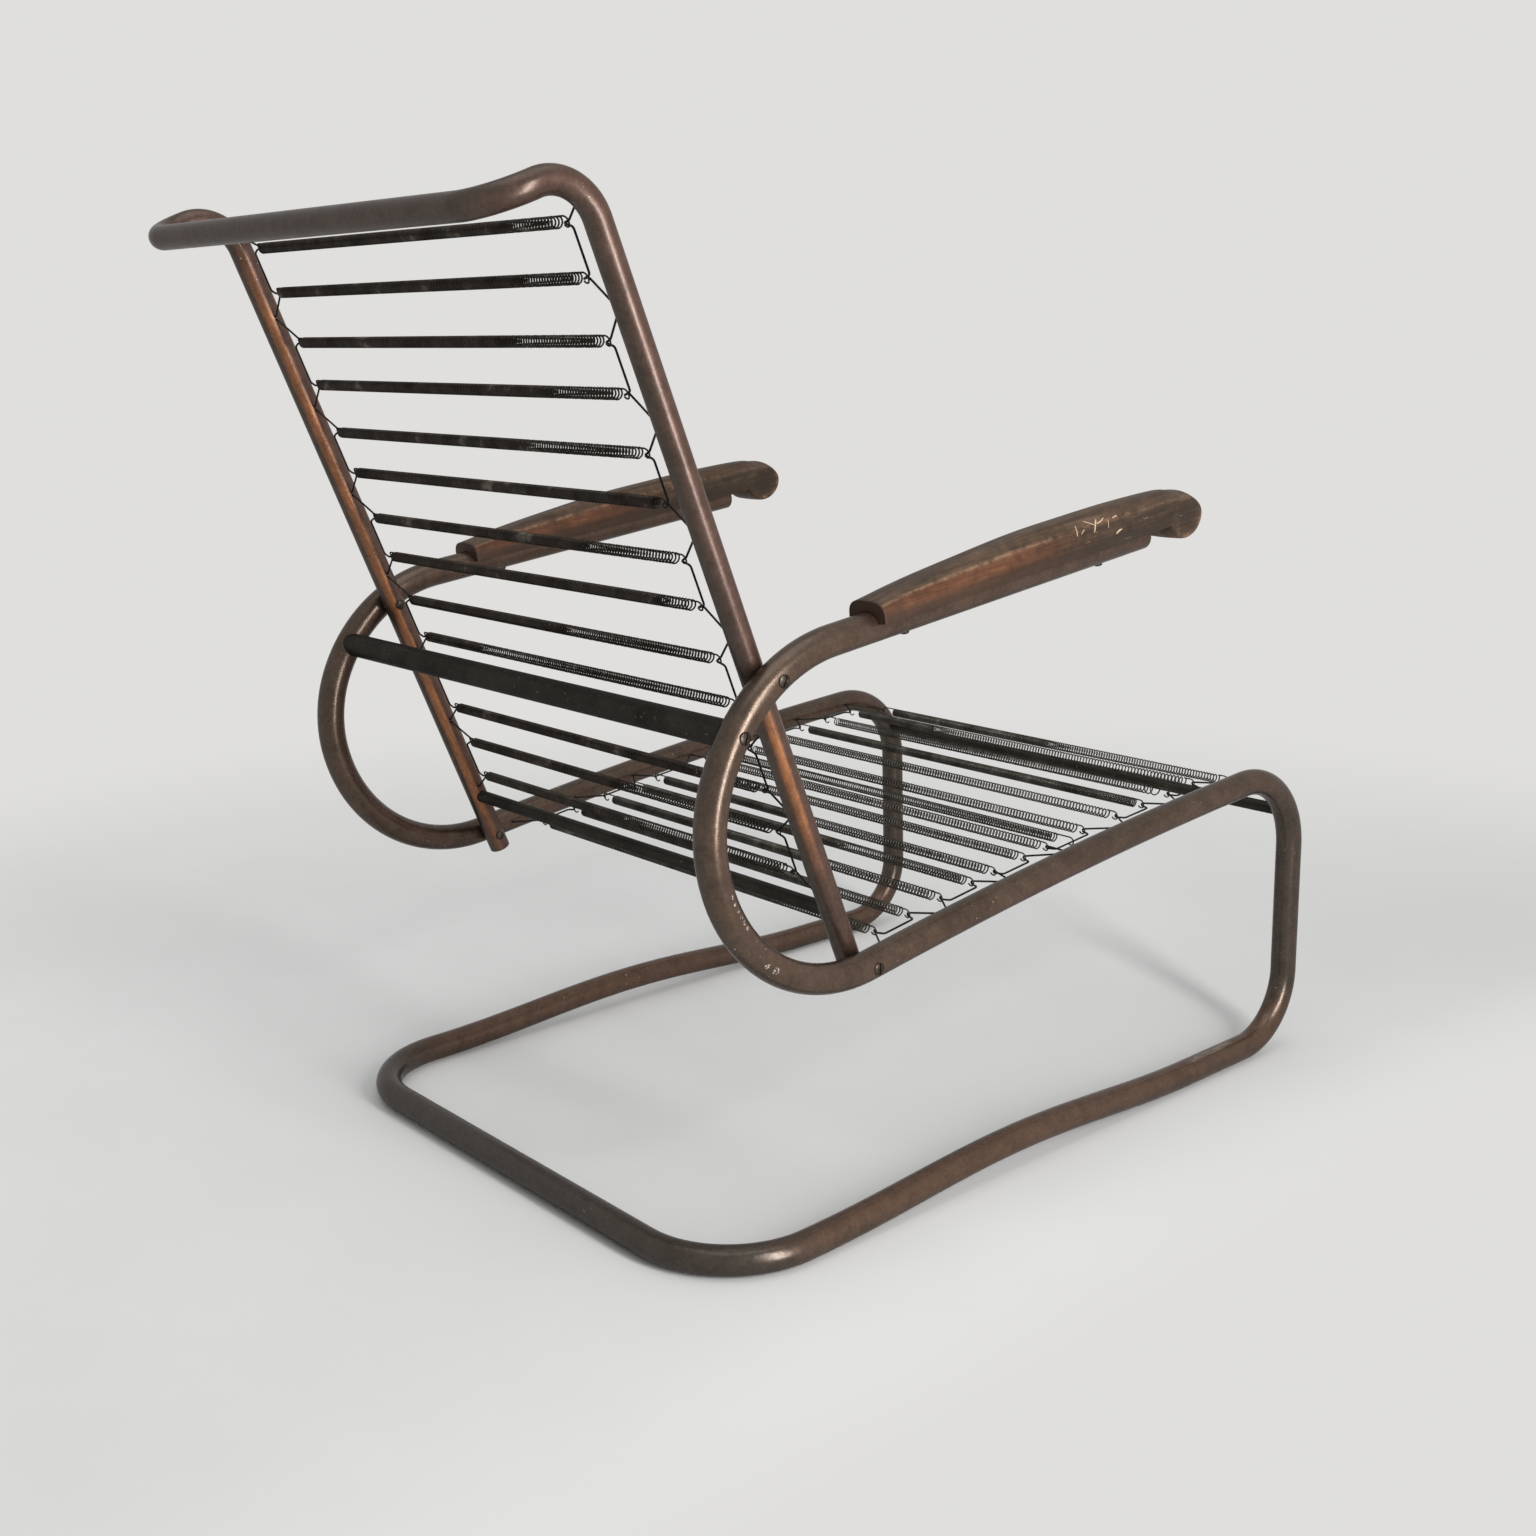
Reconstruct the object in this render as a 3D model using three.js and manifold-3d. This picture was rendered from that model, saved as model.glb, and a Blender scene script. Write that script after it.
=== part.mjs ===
// Cantilever lounge chair: bent steel tube, extension springs across the seat and the back,
// and two wooden armrests.
// Millimetres and degrees, +Z up. The chair faces -Y and the sitter's right is -X.
// The origin is on the floor, under the middle of the chair's box.
import * as THREE from "three";
import { mergeVertices } from "three/addons/utils/BufferGeometryUtils.js";
import Module from "manifold-3d";

const wasm = await Module();
wasm.setup();

// Gaps and overruns shared by all pieces
const TOUCH_GAP = 0.3;
const BORE_CLEARANCE = 0.4;
const HOOK_CLEARANCE = 0.7;
const CUT_OVERRUN = 2;

// Turns that any bend is counted from, in degrees
const QUARTER_TURN = 90;
const HALF_TURN = 180;

// Frame tube, along its centre line
const FRAME_TUBE = 25;
const FRAME_WIDTH = 562;
const FRAME_LENGTH = 761;
const REAR_CORNER_RADIUS = 90;
const RUNNER_ARCH = 12;
const TUBE_JOINT_FROM_FRONT = 161;
const TOE_RADIUS = 67;
const LEG_HEIGHT = 285;
const LEG_LEAN = 1.2;
const KNEE_RADIUS = 80;
const RAIL_FRONT_SLOPE = 4.4;
const RAIL_STRAIGHT = 120;
const RAIL_ARCH_LENGTH = 478;
const RAIL_ARCH_TURN = 4.7;
const LOOP_LOWER_RADIUS = 139;
const LOOP_LOWER_TURN = 88;
const LOOP_REAR_RADIUS = 122;
const LOOP_REAR_TURN = 33;
const LOOP_UPPER_RADIUS = 141;
const ARM_SLOPE = 7.4;
const ARM_STRAIGHT = 369;
const ARM_PLUG_DOME = 5;

// Back tube, which stands inside the two loops
const BACK_TUBE = 20;
const BACK_LEAN = 21.8;
const BACK_FOOT = 16;
const BACK_STRAIGHT = 624;
const BACK_CURL_RADIUS = 37.5;
const BACK_CURL_TURN = 89.5;
const BACK_CORNER_RADIUS = 37.5;

// Crossbars
const REAR_BAR = 21.5;
const REAR_BAR_LOOP_TURN = 134.5;
const LOWER_BACK_BAR = 12;
const LOWER_BACK_BAR_HEIGHT = 63;
const FRONT_BAR = 12;
const FRONT_BAR_KNEE_TURN = 28;

// Springs: pairs, each pair held at both ends by one bend of the wire along the tube
const SPRING_DIAMETER = 9.4;
const SPRING_WIRE = 1.4;
const SPRING_CURLS = 2;
const SPRING_CURL_PITCH = 3.4;
const SPRING_TAIL = 2;
const BACK_PAIRS = 7;
const BACK_PAIR_SPREAD = 39;
const BACK_FIRST_PAIR = 113;
const BACK_LOWER_PITCH = 78;
const BACK_UPPER_PITCH = 84;
const BACK_LOWER_PAIR_COUNT = 3;
const BACK_OPEN_HOOK = 9;
const BACK_CLOSED_HOOK = 6;
const SEAT_PAIRS = 6;
const SEAT_PAIR_SPREAD = 40;
const SEAT_FIRST_PAIR = 68;
const SEAT_PAIR_PITCH = 80;
const SEAT_SLIPPED_PAIR_INDEX = 2;
const SEAT_SLIP = 11;
const SEAT_WIDE_PAIR_INDEX = 3;
const SEAT_WIDE_PAIR_SLIP = 14;
const SEAT_WIDE_PAIR_SPREAD = 52;
const SEAT_EXTRA_SPRING = 291;
const SEAT_FRONT_SPRING = 546;
const SEAT_FRONT_DROP = 5;
const SEAT_OPEN_HOOK = 9;
const SEAT_CLOSED_HOOK = 18;

// Wires that hold the springs
const HOLDER_WIRE = 1.8;
const HOLDER_JOG = 9;
const HOLDER_JOG_RUN = 3;
const HOLDER_BORE_DEPTH = 6;
const BACK_HOLDER_REACH = 35;
const BACK_TOP_BORE = 35;
const SEAT_HOLDER_REACH = 41;
const SEAT_FRONT_BORE = 22;

// Armrests, measured from the front end of the arm tube
const ARMREST_WIDTH = 39;
const ARMREST_REAR = 330;
const ARMREST_REAR_HEIGHT = 21;
const ARMREST_HEIGHT = 37;
const ARMREST_SIDE_HEIGHT = 4.5;
const ARMREST_NOSE = 48.5;
const ARMREST_NOSE_HEIGHT = 10;
const ARMREST_NOSE_HALF_LENGTH = 24;
const ARMREST_NOSE_HALF_HEIGHT = 21;
const ARMREST_CROWN_ANGLE = 76;
const ARMREST_CROWN_SHARE = 0.72;
const ARMREST_LENGTH_SHARES = [0, 0.17, 0.43, 0.62, 0.79, 0.95];
const ARMREST_HEIGHT_SHARES = [0, 0.475, 0.925, 1, 0.98, 0.84];

// Screws
const SCREW_SHANK = 5;
const SCREW_HEAD = 10;
const SCREW_HEAD_HEIGHT = 2.6;
const SCREW_SLOT_WIDTH = 1.4;
const SCREW_SLOT_DEPTH = 1.2;
const SCREW_BITE = 8;
const NUT_DIAMETER = 9;
const NUT_HEIGHT = 3;
const NUT_THREAD = 1.6;
const WOOD_SCREW_SHANK = 3.5;
const WOOD_SCREW_HEAD = 8;
const WOOD_SCREW_HEAD_HEIGHT = 2.2;
const WOOD_SCREW_BITE = 10;
const WOOD_SCREW_FRONT = 54;
const WOOD_SCREW_REAR = 292;

// Numbers of facets and steps
const FRAME_SIDES = 12;
const BACK_SIDES = 10;
const BAR_SIDES = 10;
const BEND_STEP = 15;
const ARCH_STEPS = 4;
const RUNNER_STEPS = 6;
const ROD_SIDES = 6;
const WIRE_SIDES = 5;
const HOLDER_SIDES = 4;
const CURL_STEPS = 8;
const HOOK_STEPS = 2;
const BORE_SIDES = 5;
const HEAD_SIDES = 8;
const DOME_STEPS = 2;
const CROWN_STEPS = 6;
const TOP_STEPS = 10;
const NOSE_STEPS = 12;

const X = new THREE.Vector3(1, 0, 0);
const Y = new THREE.Vector3(0, 1, 0);
const Z = new THREE.Vector3(0, 0, 1);
const FORWARD = Y.clone().negate();
const FRAME_RADIUS = FRAME_TUBE / 2;
const BACK_RADIUS = BACK_TUBE / 2;

const radians = THREE.MathUtils.degToRad;

function moved(point, ...steps) {
  const result = point.clone();
  for (const [direction, length] of steps) result.addScaledVector(direction, length);
  return result;
}

// Materials
function metal(color, roughness, metalness) {
  return new THREE.MeshStandardMaterial({ color, roughness, metalness });
}
const bronzeLacquer = () => metal(0x5a4334, 0.34, 0.75);
const darkBar = () => metal(0x25211f, 0.5, 0.6);
const springSteel = () => metal(0x2b2926, 0.42, 0.85);
const blackWire = () => metal(0x161514, 0.5, 0.6);
const screwSteel = () => metal(0x6a5c50, 0.4, 0.85);
const wornWood = () => metal(0x6b4836, 0.5, 0);

// A path of stations, each with a point and a heading, that a section is drawn along
class StationPath extends THREE.Curve {
  constructor(point, heading) {
    super();
    this.stations = [{ point: point.clone(), heading: heading.clone(), distance: 0 }];
  }

  get last() {
    return this.stations[this.stations.length - 1];
  }

  get travelled() {
    return this.last.distance;
  }

  add(point, heading) {
    const distance = this.travelled + point.distanceTo(this.last.point);
    this.stations.push({ point, heading: heading.clone().normalize(), distance });
    return this;
  }

  line(length) {
    return this.add(moved(this.last.point, [this.last.heading, length]), this.last.heading);
  }

  arc(radius, degrees, axis, steps = Math.ceil(Math.abs(degrees) / BEND_STEP)) {
    const turnAxis = degrees < 0 ? axis.clone().negate() : axis.clone();
    const start = this.last;
    const toCentre = turnAxis.clone().cross(start.heading);
    const centre = moved(start.point, [toCentre, radius]);
    for (let step = 1; step <= steps; step++) {
      const angle = radians(Math.abs(degrees)) * (step / steps);
      const arm = start.point.clone().sub(centre).applyAxisAngle(turnAxis, angle);
      this.add(centre.clone().add(arm), start.heading.clone().applyAxisAngle(turnAxis, angle));
    }
    return this;
  }

  // A level run that rises by a height in its middle
  hump(length, rise, steps) {
    const start = this.last;
    for (let step = 1; step <= steps; step++) {
      const turn = 2 * Math.PI * (step / steps);
      const lift = (rise * (1 - Math.cos(turn))) / 2;
      const slope = ((Math.PI * rise) / length) * Math.sin(turn);
      this.add(
        moved(start.point, [start.heading, length * (step / steps)], [Z, lift]),
        moved(start.heading, [Z, slope]),
      );
    }
    return this;
  }

  getPoint(share, target = new THREE.Vector3()) {
    const place = Math.round(share * (this.stations.length - 1));
    return target.copy(this.stations[place].point);
  }

  getPointAt(share, target) {
    return this.getPoint(share, target);
  }

  getTangentAt(share, target = new THREE.Vector3()) {
    const place = Math.round(share * (this.stations.length - 1));
    return target.copy(this.stations[place].heading);
  }

  // Point, heading and upward normal at a distance along the path
  frameAt(distance) {
    let place = 1;
    while (place < this.stations.length - 1 && this.stations[place].distance < distance) place++;
    const [from, to] = [this.stations[place - 1], this.stations[place]];
    const share = (distance - from.distance) / (to.distance - from.distance);
    const point = from.point.clone().lerp(to.point, share);
    const along = from.heading.clone().lerp(to.heading, share).normalize();
    return { point, along, normal: X.clone().cross(along).normalize() };
  }

  get steps() {
    return this.stations.length - 1;
  }
}

// Bends at the points of a polyline are mitred
function polylinePath(points) {
  const headings = points.map((point, place) => {
    const before = points[Math.max(place - 1, 0)];
    const after = points[Math.min(place + 1, points.length - 1)];
    const into = point.clone().sub(before).normalize();
    const out = after.clone().sub(point).normalize();
    return into.add(out).normalize();
  });
  const path = new StationPath(points[0], headings[0]);
  for (let place = 1; place < points.length; place++) path.add(points[place], headings[place]);
  return path;
}

// A regular section whose flats lie at the radius
function roundSection(radius, sides) {
  const corner = radius / Math.cos(Math.PI / sides);
  const points = [];
  for (let side = 0; side < sides; side++) {
    const angle = (2 * Math.PI * (side + 0.5)) / sides;
    points.push(new THREE.Vector2(corner * Math.cos(angle), corner * Math.sin(angle)));
  }
  return new THREE.Shape(points);
}

function sweep(path, radius, sides) {
  return new THREE.ExtrudeGeometry(roundSection(radius, sides), {
    steps: path.steps,
    bevelEnabled: false,
    extrudePath: path,
  });
}

// A thin wire, with its section's corners at the radius
function wire(points, radius, sides) {
  return sweep(polylinePath(points), radius * Math.cos(Math.PI / sides), sides);
}

function rod(from, to, radius, sides) {
  return sweep(polylinePath([from, to]), radius, sides);
}

// Booleans
function solidOf(geometry) {
  const bare = geometry.clone();
  bare.deleteAttribute("normal");
  bare.deleteAttribute("uv");
  const merged = mergeVertices(bare.index ? bare.toNonIndexed() : bare, 1e-5);
  const solid = new wasm.Manifold(
    new wasm.Mesh({
      numProp: 3,
      vertProperties: new Float32Array(merged.attributes.position.array),
      triVerts: new Uint32Array(merged.index.array),
    }),
  );
  return solid;
}

function geometryOf(solid) {
  const mesh = solid.getMesh();
  const geometry = new THREE.BufferGeometry();
  geometry.setAttribute("position", new THREE.BufferAttribute(mesh.vertProperties, 3));
  geometry.setIndex(new THREE.BufferAttribute(mesh.triVerts, 1));
  geometry.computeVertexNormals();
  return geometry;
}

function without(geometry, cutters) {
  let solid = solidOf(geometry);
  for (const cutter of cutters) solid = solid.subtract(solidOf(cutter));
  return geometryOf(solid);
}

function joined(geometries) {
  let solid = solidOf(geometries[0]);
  for (const geometry of geometries.slice(1)) solid = solid.add(solidOf(geometry));
  return geometryOf(solid);
}

const chair = new THREE.Group();

function place(name, geometry, material, basis) {
  const mesh = new THREE.Mesh(geometry, material);
  mesh.name = name;
  if (basis) {
    mesh.position.copy(basis.point);
    const third = basis.x.clone().cross(basis.y);
    const turn = new THREE.Matrix4().makeBasis(basis.x, basis.y, third);
    mesh.quaternion.setFromRotationMatrix(turn);
  }
  chair.add(mesh);
  return mesh;
}

const SIDES = [
  { name: "right", sign: -1 },
  { name: "left", sign: 1 },
];

// Side frame: toe, leg, knee, seat rail, loop and arm, in one bent tube
const halfWidth = FRAME_WIDTH / 2;
const jointFromRear = FRAME_LENGTH - TUBE_JOINT_FROM_FRONT;
const toeTurn = QUARTER_TURN + LEG_LEAN;
const kneeTurn = QUARTER_TURN - LEG_LEAN + RAIL_FRONT_SLOPE;
const bendTangent = (radius, turn) => radius * Math.tan(radians(turn) / 2);
const loopTurn = RAIL_FRONT_SLOPE + RAIL_ARCH_TURN + HALF_TURN - ARM_SLOPE;
const loopUpperTurn = loopTurn - LOOP_LOWER_TURN - LOOP_REAR_TURN;
const legLength = LEG_HEIGHT / Math.cos(radians(LEG_LEAN));
const PITCH_UP = X.clone().negate();

function sidePath(x) {
  const start = new THREE.Vector3(x, -jointFromRear - TOUCH_GAP, FRAME_RADIUS);
  const path = new StationPath(start, FORWARD);
  path.line(TUBE_JOINT_FROM_FRONT - TOUCH_GAP - bendTangent(TOE_RADIUS, toeTurn));
  path.arc(TOE_RADIUS, toeTurn, PITCH_UP);
  path.line(legLength - bendTangent(TOE_RADIUS, toeTurn) - bendTangent(KNEE_RADIUS, kneeTurn));
  path.kneeStart = path.travelled;
  path.arc(KNEE_RADIUS, kneeTurn, PITCH_UP);
  path.kneeEnd = path.travelled;
  path.line(RAIL_STRAIGHT - bendTangent(KNEE_RADIUS, kneeTurn));
  path.arc(RAIL_ARCH_LENGTH / radians(RAIL_ARCH_TURN), RAIL_ARCH_TURN, PITCH_UP, ARCH_STEPS);
  path.loopStart = path.travelled;
  path.arc(LOOP_LOWER_RADIUS, -LOOP_LOWER_TURN, PITCH_UP);
  path.loopRear = path.travelled;
  path.arc(LOOP_REAR_RADIUS, -LOOP_REAR_TURN, PITCH_UP);
  path.loopUpper = path.travelled;
  path.arc(LOOP_UPPER_RADIUS, -loopUpperTurn, PITCH_UP);
  path.loopEnd = path.travelled;
  path.line(ARM_STRAIGHT);
  return path;
}

const midPath = sidePath(0);
const onMid = (distance) => midPath.frameAt(distance);

// Back tube, in a plane that leans back through the start of the loops
const backHalfWidth = halfWidth - FRAME_RADIUS - BACK_RADIUS - TOUCH_GAP;
const loopStartPoint = onMid(midPath.loopStart).point;
const backUp = Z.clone().applyAxisAngle(X, -radians(BACK_LEAN));
const backNormal = X.clone().cross(backUp);
const backFootPoint = moved(loopStartPoint, [backUp, -BACK_FOOT]);

const backPath = new StationPath(moved(backFootPoint, [X, -backHalfWidth]), backUp);
backPath.line(BACK_STRAIGHT);
backPath.arc(BACK_CURL_RADIUS, BACK_CURL_TURN, PITCH_UP);
const cornerAxis = backPath.last.heading.clone().cross(X);
backPath.arc(BACK_CORNER_RADIUS, QUARTER_TURN, cornerAxis);
backPath.line(2 * (backHalfWidth - BACK_CORNER_RADIUS));
backPath.arc(BACK_CORNER_RADIUS, QUARTER_TURN, cornerAxis);
backPath.arc(BACK_CURL_RADIUS, -BACK_CURL_TURN, PITCH_UP);
backPath.line(BACK_STRAIGHT);

function onBack(distance) {
  const frame = backPath.frameAt(distance);
  frame.point.setX(0);
  return frame;
}

// Where the back tube passes the upper half of the loop
function backCrossing() {
  let best = { gap: Infinity };
  const samples = midPath.stations.length * BEND_STEP;
  const run = midPath.loopEnd - midPath.loopUpper;
  for (let sample = 0; sample <= samples; sample++) {
    const { point } = onMid(midPath.loopUpper + (run * sample) / samples);
    const gap = Math.abs(point.clone().sub(backFootPoint).dot(backNormal));
    if (gap < best.gap) best = { gap, point };
  }
  return best.point;
}
const upperCrossing = backCrossing();

// Crossbars, coped to the tubes they meet
const rearBarTurn = REAR_BAR_LOOP_TURN - LOOP_LOWER_TURN - LOOP_REAR_TURN;
const rearBarDistance = THREE.MathUtils.lerp(
  midPath.loopUpper,
  midPath.loopEnd,
  rearBarTurn / loopUpperTurn,
);
const rearBarPoint = onMid(rearBarDistance).point;
const frontBarDistance = THREE.MathUtils.lerp(
  midPath.kneeStart,
  midPath.kneeEnd,
  FRONT_BAR_KNEE_TURN / kneeTurn,
);
const frontBarPoint = onMid(frontBarDistance).point;
const lowerBarPoint = onBack(LOWER_BACK_BAR_HEIGHT).point;

// Screws that run through the side tube along X: bolts through the back tube, with a nut
// inside it, and screws into the rear crossbar
const boltReach = FRAME_TUBE + TOUCH_GAP + BACK_TUBE + TOUCH_GAP + NUT_THREAD;
const crossScrews = [
  { name: "back_upper", point: upperCrossing, reach: boltReach, bolt: true },
  { name: "back_lower", point: loopStartPoint, reach: boltReach, bolt: true },
  { name: "rear_bar", point: rearBarPoint, reach: FRAME_TUBE + SCREW_BITE, bolt: false },
];

function acrossHole(point, sign, from, to, radius) {
  return rod(
    moved(point, [X, sign * from]),
    moved(point, [X, sign * to]),
    radius,
    BORE_SIDES,
  );
}

const outerFace = halfWidth + FRAME_RADIUS;
const screwBoreRadius = SCREW_SHANK / 2 + BORE_CLEARANCE;
const woodBoreRadius = WOOD_SCREW_SHANK / 2 + BORE_CLEARANCE;

function crossScrewHole(screw, sign) {
  const from = outerFace + CUT_OVERRUN;
  const to = outerFace - screw.reach - BORE_CLEARANCE;
  return acrossHole(screw.point, sign, from, to, screwBoreRadius);
}

// Bends of the holding wire along a tube: each runs from bore to bore past its springs
function backBends() {
  const centres = [];
  let centre = BACK_FIRST_PAIR;
  for (let pair = 0; pair < BACK_PAIRS; pair++) {
    centres.push(centre);
    centre += pair + 1 < BACK_LOWER_PAIR_COUNT ? BACK_LOWER_PITCH : BACK_UPPER_PITCH;
  }
  return centres.map((middle, pair) => {
    const below = pair ? (centres[pair - 1] + middle) / 2 : middle - BACK_LOWER_PITCH / 2;
    const top = middle + BACK_TOP_BORE;
    const above = pair + 1 < centres.length ? (centres[pair + 1] + middle) / 2 : top;
    const hooks = [middle - BACK_PAIR_SPREAD / 2, middle + BACK_PAIR_SPREAD / 2];
    return { below, above, hooks, drop: 0 };
  });
}

// The seat's distances run forward from the start of the loop
function seatBends() {
  const bends = [];
  for (let pair = 0; pair < SEAT_PAIRS; pair++) {
    const regular = SEAT_FIRST_PAIR + pair * SEAT_PAIR_PITCH;
    let middle = regular;
    let spread = SEAT_PAIR_SPREAD;
    if (pair === SEAT_SLIPPED_PAIR_INDEX) middle -= SEAT_SLIP;
    if (pair === SEAT_WIDE_PAIR_INDEX) {
      middle -= SEAT_WIDE_PAIR_SLIP;
      spread = SEAT_WIDE_PAIR_SPREAD;
    }
    const below = regular - SEAT_PAIR_PITCH / 2;
    const above = regular + SEAT_PAIR_PITCH / 2;
    const hooks = [middle - spread / 2, middle + spread / 2];
    bends.push({ below, above, hooks, drop: 0 });
  }
  const below = bends[SEAT_PAIRS - 1].above;
  const above = SEAT_FRONT_SPRING + SEAT_FRONT_BORE;
  bends.push({ below, above, hooks: [SEAT_FRONT_SPRING], drop: -SEAT_FRONT_DROP });
  return bends;
}

const backHolder = {
  bends: backBends(),
  at: onBack,
  half: backHalfWidth,
  tubeRadius: BACK_RADIUS,
  reach: BACK_HOLDER_REACH,
};
const seatHolder = {
  bends: seatBends(),
  at: (distance) => onMid(midPath.loopStart - distance),
  half: halfWidth,
  tubeRadius: FRAME_RADIUS,
  reach: SEAT_HOLDER_REACH,
};

const springRadius = SPRING_DIAMETER / 2;
const springWireRadius = SPRING_WIRE / 2;
const coilRadius = springRadius - springWireRadius;
const holderRadius = HOLDER_WIRE / 2;
const holderSpacing = HOLDER_WIRE + BORE_CLEARANCE;
const holderBoreRadius = holderSpacing / 2 + holderRadius + BORE_CLEARANCE;
const sideStep = springWireRadius + holderRadius + HOOK_CLEARANCE;

function holderPoint(holder, sign, inset, distance, lift) {
  const { point, normal } = holder.at(distance);
  return moved(point, [X, sign * (holder.half - inset)], [normal, lift]);
}

function holderWire(holder, sign) {
  const points = [];
  const put = (inset, distance, lift) => {
    points.push(holderPoint(holder, sign, inset, distance, lift));
  };
  const deep = holder.tubeRadius - HOLDER_BORE_DEPTH + holderRadius + BORE_CLEARANCE;
  const mouth = holder.tubeRadius + holderRadius;
  const link = holder.reach - HOLDER_JOG;
  const half = holderSpacing / 2;
  for (const { below, above, hooks, drop } of holder.bends) {
    const [over, under] = [drop + sideStep, drop - sideStep];
    put(deep, below + half, 0);
    put(mouth, below + half, 0);
    put(holder.reach, hooks[0], over);
    put(holder.reach, hooks[0], under);
    if (hooks.length > 1) {
      put(link, hooks[0] + HOLDER_JOG_RUN, under);
      put(link, hooks[1] - HOLDER_JOG_RUN, under);
      put(holder.reach, hooks[1], under);
      put(holder.reach, hooks[1], over);
    }
    put(mouth, above - half, 0);
    put(deep, above - half, 0);
  }
  return wire(points, holderRadius, HOLDER_SIDES);
}

function holderBores(holder, sign) {
  const places = [holder.bends[0].below, ...holder.bends.map((bend) => bend.above)];
  return places.map((distance) => {
    const from = holderPoint(holder, sign, holder.tubeRadius + CUT_OVERRUN, distance, 0);
    const to = holderPoint(holder, sign, holder.tubeRadius - HOLDER_BORE_DEPTH, distance, 0);
    return rod(from, to, holderBoreRadius, BORE_SIDES);
  });
}

// Side tubes, with their screw holes and the bores for the seat's wires
const armEnd = onMid(midPath.travelled);
const armForward = armEnd.along;
const armUp = armEnd.normal.clone().negate();
const woodScrewPlaces = { front: WOOD_SCREW_FRONT, rear: WOOD_SCREW_REAR };

function woodScrewHole(point) {
  const from = moved(point, [armUp, -FRAME_RADIUS - CUT_OVERRUN]);
  const to = moved(point, [armUp, FRAME_RADIUS + WOOD_SCREW_BITE + BORE_CLEARANCE]);
  return rod(from, to, woodBoreRadius, BORE_SIDES);
}

for (const { name, sign } of SIDES) {
  const path = sidePath(sign * halfWidth);
  const holes = crossScrews.map((screw) => crossScrewHole(screw, sign));
  for (const back of Object.values(woodScrewPlaces)) {
    holes.push(woodScrewHole(moved(path.last.point, [armForward, -back])));
  }
  const geometry = without(sweep(path, FRAME_RADIUS, FRAME_SIDES), [
    ...holes,
    ...holderBores(seatHolder, sign),
  ]);
  place(`side_tube_${name}`, geometry, bronzeLacquer());
}

// Base tube: both runners and the rear floor bar
const basePath = new StationPath(
  new THREE.Vector3(-halfWidth, -jointFromRear, FRAME_RADIUS),
  Y,
);
const runnerLength = jointFromRear - REAR_CORNER_RADIUS;
basePath.hump(runnerLength, RUNNER_ARCH, RUNNER_STEPS);
basePath.arc(REAR_CORNER_RADIUS, -QUARTER_TURN, Z);
basePath.line(2 * (halfWidth - REAR_CORNER_RADIUS));
basePath.arc(REAR_CORNER_RADIUS, -QUARTER_TURN, Z);
basePath.hump(runnerLength, RUNNER_ARCH, RUNNER_STEPS);
place("base_tube", sweep(basePath, FRAME_RADIUS, FRAME_SIDES), bronzeLacquer());

// Back tube, with its screw holes and the bores for the back's wires
const backHoles = [];
for (const { sign } of SIDES) {
  for (const screw of crossScrews.slice(0, 2)) backHoles.push(crossScrewHole(screw, sign));
  backHoles.push(...holderBores(backHolder, sign));
}
const backTube = without(sweep(backPath, BACK_RADIUS, BACK_SIDES), backHoles);
place("back_tube", backTube, bronzeLacquer());

// A bar across the chair, coped to the tube sections that it meets
function crossbar(point, half, radius, copes) {
  const bar = rod(moved(point, [X, -half]), moved(point, [X, half]), radius, BAR_SIDES);
  return without(bar, copes);
}

const sideTubeRoom = SIDES.map(({ sign }) =>
  sweep(sidePath(sign * halfWidth), FRAME_RADIUS + TOUCH_GAP, FRAME_SIDES),
);
const backTubeRoom = sweep(backPath, BACK_RADIUS + TOUCH_GAP, BACK_SIDES);
const rearBarCutters = [
  ...sideTubeRoom,
  ...SIDES.map(({ sign }) => crossScrewHole(crossScrews[2], sign)),
];
const rearBar = crossbar(rearBarPoint, halfWidth, REAR_BAR / 2, rearBarCutters);
place("rear_crossbar", rearBar, darkBar());
const lowerBarHalf = LOWER_BACK_BAR / 2;
const lowerBar = crossbar(lowerBarPoint, backHalfWidth, lowerBarHalf, [backTubeRoom]);
place("lower_back_crossbar", lowerBar, darkBar());
const frontBar = crossbar(frontBarPoint, halfWidth, FRONT_BAR / 2, sideTubeRoom);
place("front_crossbar", frontBar, darkBar());

// A spring: its close-wound length is a rod along X, its open end has curls, and both ends
// have hooks in the plane of the seat or back. The open end is towards -X.
let leastCurlGap = Infinity;

function measureCurlGap(points) {
  const samples = [];
  for (let place = 1; place < points.length; place++) {
    const parts = 4;
    for (let part = 0; part < parts; part++) {
      samples.push(points[place - 1].clone().lerp(points[place], part / parts));
    }
  }
  let travelled = 0;
  const travel = samples.map((sample, place) => {
    if (place) travelled += sample.distanceTo(samples[place - 1]);
    return travelled;
  });
  for (let a = 0; a < samples.length; a++) {
    for (let b = a + 1; b < samples.length; b++) {
      if (travel[b] - travel[a] < 4 * SPRING_WIRE) continue;
      const gap = samples[a].distanceTo(samples[b]) - SPRING_WIRE;
      leastCurlGap = Math.min(leastCurlGap, gap);
    }
  }
}

function hookPoints(coilEnd, tip, sign) {
  const points = [];
  const centre = tip - coilRadius;
  for (let step = 0; step <= HOOK_STEPS; step++) {
    const angle = Math.PI * (step / HOOK_STEPS);
    points.push(
      new THREE.Vector3(
        sign * (centre + coilRadius * Math.sin(angle)),
        coilRadius * Math.cos(angle),
        0,
      ),
    );
  }
  const tail = Math.min(SPRING_TAIL, centre - coilEnd);
  points.push(new THREE.Vector3(sign * (centre - tail), -coilRadius, 0));
  return points;
}

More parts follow.
